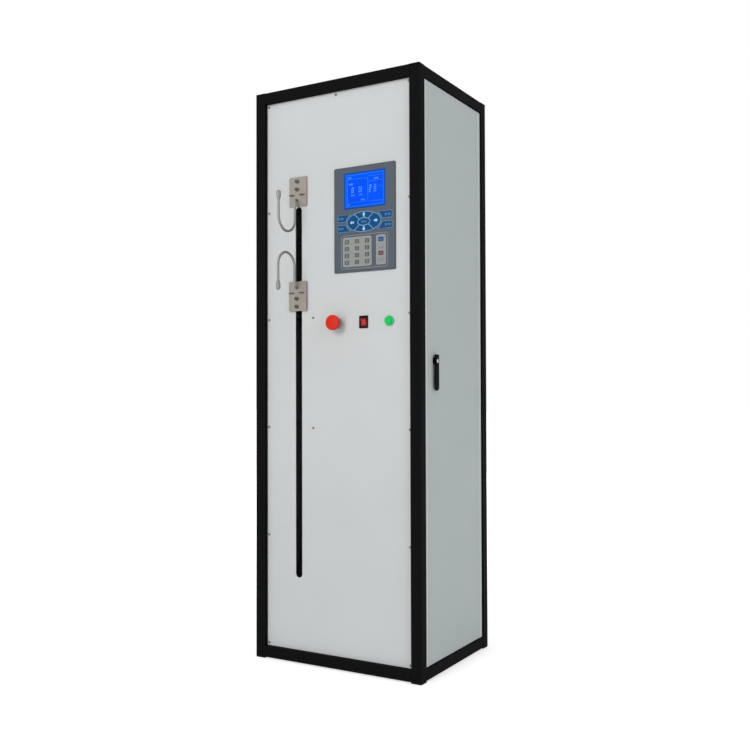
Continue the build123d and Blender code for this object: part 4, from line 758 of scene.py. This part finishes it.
def number_pad():
    """Twelve number keys on their plate, the plate of the column and the line around both."""
    frame_line = rounded_box(*keypad_line, 7.0)
    line_art("keypad_outline", [(frame_line, shrunk(frame_line, keypad_line_width))], print_grey)
    rims = [(plate, shrunk(plate, plate_line_width))
            for plate in (rounded_box(*number_plate, 5.0), rounded_box(*column_plate, 5.0))]
    relief("keypad_plates", [inside for _, inside in rims], plate_tone, PLATE_RELIEF)
    line_art("keypad_plate_rims", rims, plate_rim, PLATE_RELIEF)
    x, z = on_unit(*number_keys)
    y = film_y - PLATE_RELIEF
    counts = (3, 4)
    pitch = (number_pitch[0] * MM, number_pitch[1] * unit_height / FACE_HEIGHT)
    half_w, half_h = (size * MM for size in number_size)
    half_face = number_face * MM
    key = pad_mesh("number_key", box_about(0, 0, half_w, half_h, 1.4 * MM, 3), KEY_RELIEF, 0.1 * MM)
    set_grid("number_keys", key, key_dark, "membrane_print", counts, pitch, (x, y, z))
    face_outline = box_about(0, 0, half_face, half_face, 1.0 * MM, 3)
    face = pad_mesh("number_key_face", face_outline, FACE_RELIEF, 0.02 * MM)
    set_grid("number_key_faces", face, key_face, "membrane_print", counts, pitch, (x, y - KEY_RELIEF, z))
    ink = []
    for row, signs in enumerate(("123", "456", "789", ".0-")):
        for column, sign in enumerate(signs):
            u = number_keys[0] + (column - 1) * number_pitch[0]
            v = number_keys[1] + (1.5 - row) * number_pitch[1]
            if sign == ".":
                ink.append(corners_of(u - 0.7, v - 1.8, u + 0.7, v - 0.4))
            elif sign == "-":
                ink.append(corners_of(u - 1.7, v - 0.4, u + 1.7, v + 0.4))
            else:
                ink += figure(sign, u - figure_w / 2, v - figure_h / 2, figure_w, figure_h, figure_stroke)
    relief("number_key_figures", ink, key_ink, PRINT, PLATE_RELIEF + KEY_RELIEF + FACE_RELIEF)


def column_keys():
    """The column of four keys: a blue one, two pairs of small marks and a dark one with a red sign."""
    top, upper, lower, bottom = column_levels
    base = PLATE_RELIEF + KEY_RELIEF
    for name, level, material in (("run_key", top, print_blue), ("stop_key", lower, key_dark)):
        relief(name, [box_about(column_x, level, *column_key, 1.2, 3)], material, KEY_RELIEF, PLATE_RELIEF)
    run_pitch, run_w, run_h = 4.6, 1.9, 2.1
    first = column_x - 2.5
    relief("run_mark", [box_about(first + run_pitch * k, top, run_w, run_h, 0.6) for k in (0, 1)],
           key_cyan, PRINT, base)
    relief("stop_mark", [box_about(column_x, lower, 4.0, 2.8, 0.8)], key_red, PRINT, base)
    jog_pitch, jog_w, jog_foot, jog_tip = 4.1, 2.7, 2.2, 2.8
    marks = []
    for level, way in ((upper, 1), (bottom, -1)):
        for k in (-1, 1):
            u, foot = column_x + jog_pitch * k, level - jog_foot * way
            marks.append([(u - jog_w, foot), (u + jog_w, foot), (u, level + jog_tip * way)])
    relief("jog_marks", marks, key_cyan, PRINT, PLATE_RELIEF)


side_keys()
arrow_ring()
number_pad()
column_keys()


# Display: a printed border on the film, and a picture of thin lines and plain numbers

lcd_low, lcd_high = corners("lcd_window")
picture_light = lit("picture_pale", colour(104, 172, 255))
picture_line = lit("picture_line_blue", colour(46, 138, 255))
edge_blue = lit("display_edge_blue", colour(20, 112, 255))
PICTURE = 0.06 * MM
border_print_box = (30.6, 165.2, 156.9, 261.0)  # mm on the unit's face
opening_margin = 2.5 * MM
open_left, open_right = lcd_low.x + opening_margin, lcd_high.x - opening_margin
open_bottom, open_top = lcd_low.z + opening_margin, lcd_high.z - opening_margin


def on_display(u, v):
    """A point of the display, as shares of the opening's width and height from the lower left."""
    return (open_left + u * (open_right - open_left), open_bottom + v * (open_top - open_bottom))


def picture(name, outlines, material):
    """Lit shapes on the display, as one piece."""
    bm = bmesh.new()
    for outline in outlines:
        slab(bm, [on_display(u, v) for u, v in outline], glass_y + SUNK, glass_y - PICTURE)
    finished(name, bm, material, "cabinet")


def reading(text, left, bottom, size):
    """A number in figures; a full stop is a small square. Sizes are shares of the opening."""
    width, height, stroke, gap = size * 0.62, size * 1.5, 0.007, 0.009
    outlines = []
    for sign in text:
        if sign == ".":
            outlines.append(corners_of(left, bottom, left + stroke, bottom + stroke * 1.3))
            left += stroke + gap
        else:
            outlines += figure(sign, left, bottom, width, height, stroke)
            left += width + gap
    return outlines


def display_picture():
    """The border, the picture's frames, its header and its rows of numbers."""
    border = placed(corners_of(*border_print_box))
    opening = corners_of(open_left, open_bottom, open_right, open_top)
    bm = bmesh.new()
    band(bm, border, opening, film_y + SUNK, film_y - PRINT)
    finished("display_border", bm, border_print, "cabinet")
    edge_w, edge_h = 0.030, 0.040
    outer = [on_display(u, v) for u, v in corners_of(0.0, 0.0, 1.0, 1.0)]
    inner = [on_display(u, v) for u, v in corners_of(edge_w, edge_h, 1 - edge_w, 1 - edge_h)]
    bm = bmesh.new()
    band(bm, outer, inner, glass_y + SUNK, glass_y - PICTURE / 2)
    finished("display_edge", bm, edge_blue, "cabinet")
    line = 0.011
    lines = [
        (0.045, 0.845, 0.577, 0.845 + line), (0.577, 0.165, 0.577 + line, 0.856),
        (0.600, 0.885, 0.975, 0.885 + line), (0.588, 0.725, 0.960, 0.725 + line),
        (0.600, 0.117, 0.965, 0.117 + line), (0.880, 0.545, 0.950, 0.545 + line),
        (0.050, 0.150, 0.050 + line, 0.845), (0.045, 0.130, 0.560, 0.130 + line * 0.6),
    ]
    picture("display_lines", [corners_of(*box) for box in lines], picture_line)
    figures = reading("1024", 0.055, 0.872, 0.030) + reading("2048", 0.745, 0.770, 0.032)
    figures += reading("1500", 0.080, 0.672, 0.036)
    left_rows = ((0.560, "120", "23.6"), (0.497, "240", "41.2"), (0.435, "360", "58.9"),
                 (0.335, "0.50", "1.25"))
    right_rows = ((0.580, "180", "7.5"), (0.517, "120", "9.0"), (0.455, "60", "4.8"), (0.392, "30", "2.4"))
    columns = ((left_rows, 0.150, 0.345, 0.028), (right_rows, 0.610, 0.735, 0.026))
    for rows, count_u, value_u, size in columns:
        for level, count, value in rows:
            figures += reading(count, count_u, level, size) + reading(value, value_u, level, 0.028)
    figures += reading("18.0", 0.400, 0.175, 0.030) + reading("30", 0.055, 0.062, 0.026)
    picture("display_figures", figures, picture_light)


display_picture()


# Screws: pan heads with a cross recess and their shanks, in the stead of the CAD's plain ones

head_radius, head_height, shank_radius, shank_length = 3.6 * MM, 1.6 * MM, 1.9 * MM, 9.0 * MM


def pan_screw_mesh():
    """A pan-head screw along +Z with its head's seat at 0, as a mesh of few faces."""
    sides = 20
    profile = [
        (shank_radius * 0.7, -shank_length), (shank_radius, -shank_length + 0.6 * MM), (shank_radius, 0.0),
        (head_radius, 0.0), (head_radius, head_height * 0.35), (head_radius * 0.90, head_height * 0.72),
        (head_radius * 0.66, head_height),
    ]
    bm = bmesh.new()
    rings = []
    for r, z in profile:
        rings.append([bm.verts.new((r * cos(2 * pi * i / sides), r * sin(2 * pi * i / sides), z))
                      for i in range(sides)])
    for low, high in zip(rings, rings[1:]):
        walls(bm, low, high)
    arm, half = head_radius * 0.55, head_radius * 0.15
    cross = [(half, arm), (-half, arm), (-half, half), (-arm, half), (-arm, -half), (-half, -half),
             (-half, -arm), (half, -arm), (half, -half), (arm, -half), (arm, half), (half, half)]
    rim = [bm.verts.new((x, y, head_height)) for x, y in cross]
    floor = [bm.verts.new((x, y, head_height * 0.3)) for x, y in cross]
    walls(bm, floor, rim)
    bm.faces.new(floor)
    bm.faces.new(list(reversed(rings[0])))
    edges = []
    for ring in (rings[-1], rim):
        edges += [bm.edges.get(pair) for pair in zip(ring, ring[1:] + ring[:1])]
    bmesh.ops.triangle_fill(bm, use_beauty=True, use_dissolve=False, edges=edges)
    bmesh.ops.recalc_face_normals(bm, faces=bm.faces)
    return mesh_of("pan_screw", bm)


def islands(node):
    """The boxes of a CAD node's separate solids, as (low, high)."""
    bm = bmesh.new()
    bm.from_mesh(frame["nodes"][node].data)
    bmesh.ops.remove_doubles(bm, verts=bm.verts, dist=1e-6)
    seen = set()
    boxes = []
    for vert in bm.verts:
        if vert in seen:
            continue
        stack, group = [vert], []
        seen.add(vert)
        while stack:
            here = stack.pop()
            group.append(here.co.copy())
            for edge in here.link_edges:
                other = edge.other_vert(here)
                if other not in seen:
                    seen.add(other)
                    stack.append(other)
        boxes.append(tuple(Vector([pick(p[k] for p in group) for k in range(3)]) for pick in (min, max)))
    bm.free()
    return boxes


def cover_screws():
    """The screws of the front panel and of the other covers, each on its cover's face."""
    front = []
    for low, high in islands("front_panel_screws"):
        centre = (low + high) / 2
        front.append(((centre.x, panel_y, centre.z), (0, -1, 0)))
    set_out("front_pan_screws", pan_screw_mesh(), front, screw_steel, "front_panel_screws", 7)
    left_face = corners("left_panel")[0].x
    rear_face = corners("rear_panel")[1].y
    top_face = corners("top_panel")[1].z
    covers = []
    for low, high in islands("cover_screws"):
        centre = (low + high) / 2
        size = high - low
        if size.x > size.y and size.x > size.z:
            covers.append(((left_face, centre.y, centre.z), (-1, 0, 0)))
        elif size.y > size.z:
            covers.append(((centre.x, rear_face, centre.z), (0, 1, 0)))
        else:
            covers.append(((centre.x, centre.y, top_face), (0, 0, 1)))
    set_out("cover_pan_screws", pan_screw_mesh(), covers, screw_steel, "cover_screws", 11)


screw_steel = plated("screw_zinc", colour(128, 127, 122), 0.4, 0.8)
cover_screws()


# Hook plates: each rib gets a thin dark cap, painted shade for the rib's shaded underside

def rib_shade_caps(node, body, name):
    """Dark caps over the two ribs of a hook plate, 0.15 mm proud of them, as painted shade."""
    proud, cap_depth, reach = 0.15 * MM, 4.6 * MM, 1.0 * MM
    low, high = corners(node)
    centre = (low.x + high.x) / 2
    tips = [v.co for v in frame["nodes"][node].data.vertices if v.co.y < low.y + reach]
    bm = bmesh.new()
    for side in (-1, 1):
        rib = [co for co in tips if (co.x - centre) * side > 0]
        left, right = min(co.x for co in rib) - proud, max(co.x for co in rib) + proud
        bottom, top = min(co.z for co in rib) - proud, max(co.z for co in rib) + proud
        slab(bm, rounded_box(left, bottom, right, top, 0.5 * MM, 3), low.y + cap_depth, low.y - proud)
    finished(name, bm, rib_shade_dark, body)


# painted shade: the dark tone of the rib caps stands in for the shade on each rib's underside
rib_shade_dark = plated("rib_painted_shade", colour(72, 66, 60), 0.5, 0.4)
rib_shade_caps("upper_hook_plate", "cabinet", "upper_rib_caps")
rib_shade_caps("lower_hook_plate", "carriage", "lower_rib_caps")


# Drive: the lead screw's thread, wound on its barrel

def lead_screw_thread():
    """A ridge of 0.35 mm on the barrel, which runs where the CAD screw has its full radius."""
    pitch, ridge, proud, steps, ends = 10.0 * MM, 0.7 * MM, 0.35 * MM, 20, 2.0 * MM
    centre = middle("lead_screw")
    reach = [(hypot(v.co.x - centre.x, v.co.y - centre.y), v.co.z)
             for v in frame["nodes"]["lead_screw"].data.vertices]
    radius = max(r for r, _ in reach)
    levels = [z for r, z in reach if r > radius - 0.1 * MM]
    bottom, top = min(levels) + ends, max(levels) - ends
    tree, sockets = thread_tree("lead_screw_thread_tree", thread_steel)
    mesh = run_tree("lead_screw_thread", bpy.data.meshes.new("thread_start"), tree, {
        sockets["Radius"]: radius + proud - ridge, sockets["Pitch"]: pitch,
        sockets["Length"]: top - bottom, sockets["Ridge"]: ridge, sockets["Steps"]: steps,
    })
    mesh.transform(Matrix.Translation((centre.x, centre.y, bottom)))
    return as_piece("lead_screw_thread", mesh, thread_steel, "drive_screw")


thread_steel = plated("thread_ground_steel", colour(168, 166, 162), 0.3)
lead_screw_thread()


# Electrical parts: vents, terminals and their screws

def disc(radius, sides=12):
    """A round outline about the origin."""
    return ellipse(0.0, 0.0, radius, radius, steps=sides)


def block(name, low, high, material, radius=1.0 * MM):
    """A moulded block that faces -Y, with round upright corners and a bevelled front."""
    bm = bmesh.new()
    bevel = 0.6 * MM
    outline = rounded_box(low[0], low[2], high[0], high[2], radius, 4)
    slab(bm, outline, high[1], low[1] + bevel)
    near = shrunk(outline, bevel)
    front = [bm.verts.new((x, low[1], z)) for x, z in near]
    step = [bm.verts.new((x, low[1] + bevel, z)) for x, z in outline]
    walls(bm, step, front)
    bm.faces.new(front)
    bm.faces.new(list(reversed(step)))
    return finished(name, bm, material, "cabinet")


def power_supply_details():
    """Round vents, black discs of painted shade for the holes, and a strip of terminals on the power supply's
    face towards the front.
    """
    low, high = corners("power_supply")
    centre_x = (low.x + high.x) / 2
    # painted shade: each vent is a black disc that stands in for the shade inside a hole
    vent = pad_mesh("supply_vent", disc(1.6 * MM, 8), 0.08 * MM, 0.02 * MM)
    set_grid("supply_vents", vent, vent_shade_black, "machined_aluminium", (15, 16), (6.0 * MM, 7.0 * MM),
             (centre_x, low.y, high.z - 80 * MM))
    margin, strip_height, strip_depth = 8 * MM, 22 * MM, 9 * MM
    strip_low = Vector((low.x + margin, low.y - strip_depth, low.z + margin))
    strip_high = Vector((high.x - margin, low.y + SUNK, strip_low.z + strip_height))
    block("supply_terminal_strip", strip_low, strip_high, terminal_black)
    head = pad_mesh("terminal_screw", disc(3.0 * MM), 0.8 * MM, 0.25 * MM)
    set_grid("supply_terminal_screws", head, terminal_brass, "bright_steel", (9, 1), (10.6 * MM, 1.0 * MM),
             (centre_x, strip_low.y, strip_low.z + strip_height / 2))


def motor_driver_details():
    """Two green plug-in connectors with their screws on the driver's side towards the door."""
    low, high = corners("motor_driver")
    y = low.y + 9 * MM
    half_width, proud, way_pitch = 4.5 * MM, 7 * MM, 5.0 * MM
    sideways = ((0, 1, 0), (1, 0, 0))
    for number, (level, ways) in enumerate(((low.z + 34 * MM, 6), (high.z - 28 * MM, 5)), 1):
        name = f"driver_connector_{number}"
        outline = box_about(0, 0, half_width, ways * 2.6 * MM, 0.8 * MM, 3)
        mesh = pad_mesh(name + "_shape", outline, proud, 0.6 * MM)
        mesh.transform(standing((high.x, y, level), *sideways))
        as_piece(name, mesh, connector_green, "cabinet")
        head = pad_mesh(name + "_screw", disc(1.7 * MM, 10), 0.4 * MM, 0.15 * MM)
        set_grid(name + "_screws", head, terminal_brass, "bright_steel", (1, ways), (1.0 * MM, way_pitch),
                 (high.x + proud, y, level), *sideways)


def contact_block_details():
    """Four terminal screws on the back of each contact block."""
    for number, (low, high) in enumerate(islands("contact_blocks"), 1):
        head = pad_mesh(f"contact_screw_{number}", disc(2.6 * MM), 0.8 * MM, 0.25 * MM)
        centre = (low + high) / 2
        set_grid(f"contact_screws_{number}", head, terminal_brass, "bright_steel", (2, 2),
                 (15.0 * MM, 26.0 * MM), (centre.x, high.y, centre.z), (-1, 0, 0), (0, 1, 0))


# painted shade for the insides of the power supply's vent holes
vent_shade_black = moulded("vent_painted_shade", colour(14, 14, 15), 0.7, 0.05)
terminal_black = moulded("terminal_black", colour(26, 26, 28), 0.45, 0.1)
terminal_brass = plated("terminal_nickel", colour(172, 166, 150), 0.35)
connector_green = moulded("connector_green", colour(30, 120, 62), 0.45, 0.1)
power_supply_details()
motor_driver_details()
contact_block_details()


# Floor, light and camera

def seen_ray(tree):
    """1 for rays that show the background: the camera's, and those in metal and glass."""
    path = tree.nodes.new("ShaderNodeLightPath")
    seen = maths(tree, "MAXIMUM", path.outputs["Is Camera Ray"], path.outputs["Is Glossy Ray"])
    return maths(tree, "MAXIMUM", seen, path.outputs["Is Transmission Ray"])


def stage_floor():
    """A pale floor that is white to the camera and keeps the object's shadow."""
    half_size, near, far, near_glow = 30.0, 0.5, 2.2, 0.55
    bm = bmesh.new()
    bmesh.ops.create_grid(bm, x_segments=1, y_segments=1, size=half_size)
    floor = as_object("floor", mesh_of("floor", bm))
    material = bpy.data.materials.new("floor_pale")
    material.use_nodes = True
    tree = material.node_tree
    shader = tree.nodes["Principled BSDF"]
    for label, value in (("Base Color", (0.8, 0.8, 0.8, 1.0)), ("Roughness", 0.9),
                         ("Specular IOR Level", 0.0), ("Emission Color", (1.0, 1.0, 1.0, 1.0))):
        shader.inputs[label].default_value = value
    distance = tree.nodes.new("ShaderNodeVectorMath")
    distance.operation = "LENGTH"
    tree.links.new(tree.nodes.new("ShaderNodeTexCoord").outputs["Object"], distance.inputs[0])
    glow = tree.nodes.new("ShaderNodeMapRange")
    for label, value in (("From Min", near), ("From Max", far), ("To Min", near_glow)):
        glow.inputs[label].default_value = value
    tree.links.new(distance.outputs["Value"], glow.inputs["Value"])
    shown = maths(tree, "MULTIPLY", seen_ray(tree), glow.outputs["Result"])
    tree.links.new(shown, shader.inputs["Emission Strength"])
    floor.data.materials.append(material)


def world_light(level):
    """An even world that the camera and reflections see as white."""
    world = bpy.data.worlds.new("studio")
    bpy.context.scene.world = world
    world.use_nodes = True
    nodes, links = world.node_tree.nodes, world.node_tree.links
    back = nodes["Background"]
    back.inputs["Color"].default_value = (1.0, 1.0, 1.0, 1.0)
    strength = nodes.new("ShaderNodeMapRange")
    strength.inputs["To Min"].default_value = level
    strength.inputs["To Max"].default_value = 1.0
    links.new(seen_ray(world.node_tree), strength.inputs["Value"])
    links.new(strength.outputs["Result"], back.inputs["Strength"])


def lamp(name, place, target, size, watts):
    """A square soft lamp that faces a point."""
    data = bpy.data.lights.new(name, "AREA")
    data.shape = "SQUARE"
    data.size = size
    data.energy = watts
    light = bpy.data.objects.new(name, data)
    bpy.context.scene.collection.objects.link(light)
    light.location = place
    light.rotation_euler = (Vector(target) - Vector(place)).to_track_quat("-Z", "Y").to_euler()


def photo_camera():
    """The camera of the photograph, solved from the cabinet's corners; angles in degrees."""
    yaw, pitch, roll = radians(30.335), radians(1.124), radians(0.159)
    place = Vector((1.3188, -2.2447, 0.7231))
    focal_pixels, frame_pixels, sensor = 923.86, 750, 36.0
    forward = Vector((-sin(yaw) * cos(pitch), cos(yaw) * cos(pitch), sin(pitch)))
    level = Vector((cos(yaw), sin(yaw), 0.0))
    down = forward.cross(level)
    right = level * cos(roll) + down * sin(roll)
    up = right.cross(forward)
    data = bpy.data.cameras.new("photo_camera")
    data.sensor_width = sensor
    data.lens = focal_pixels / frame_pixels * sensor
    data.clip_end = 100.0
    camera = bpy.data.objects.new("photo_camera", data)
    bpy.context.scene.collection.objects.link(camera)
    turn = Matrix((right, up, -forward)).transposed().to_4x4()
    camera.matrix_world = Matrix.Translation(place) @ turn
    bpy.context.scene.camera = camera


stage_floor()
world_light(0.42)
middle_of_front = (0.0, -0.2, 0.85)
lamp("key_lamp", (-0.7, -5.4, 3.2), middle_of_front, 2.2, 118.0)
lamp("low_lamp", (-1.0, -4.6, 0.8), (0.0, -0.2, 0.3), 1.2, 22.0)
lamp("side_lamp", (3.2, -1.2, 1.9), (0.25, 0.0, 0.8), 2.2, 25.0)
lamp("rear_lamp", (-1.0, 5.5, 2.0), (0.0, 0.2, 0.85), 3.0, 90.0)
photo_camera()
bpy.context.scene.view_settings.view_transform = "Standard"
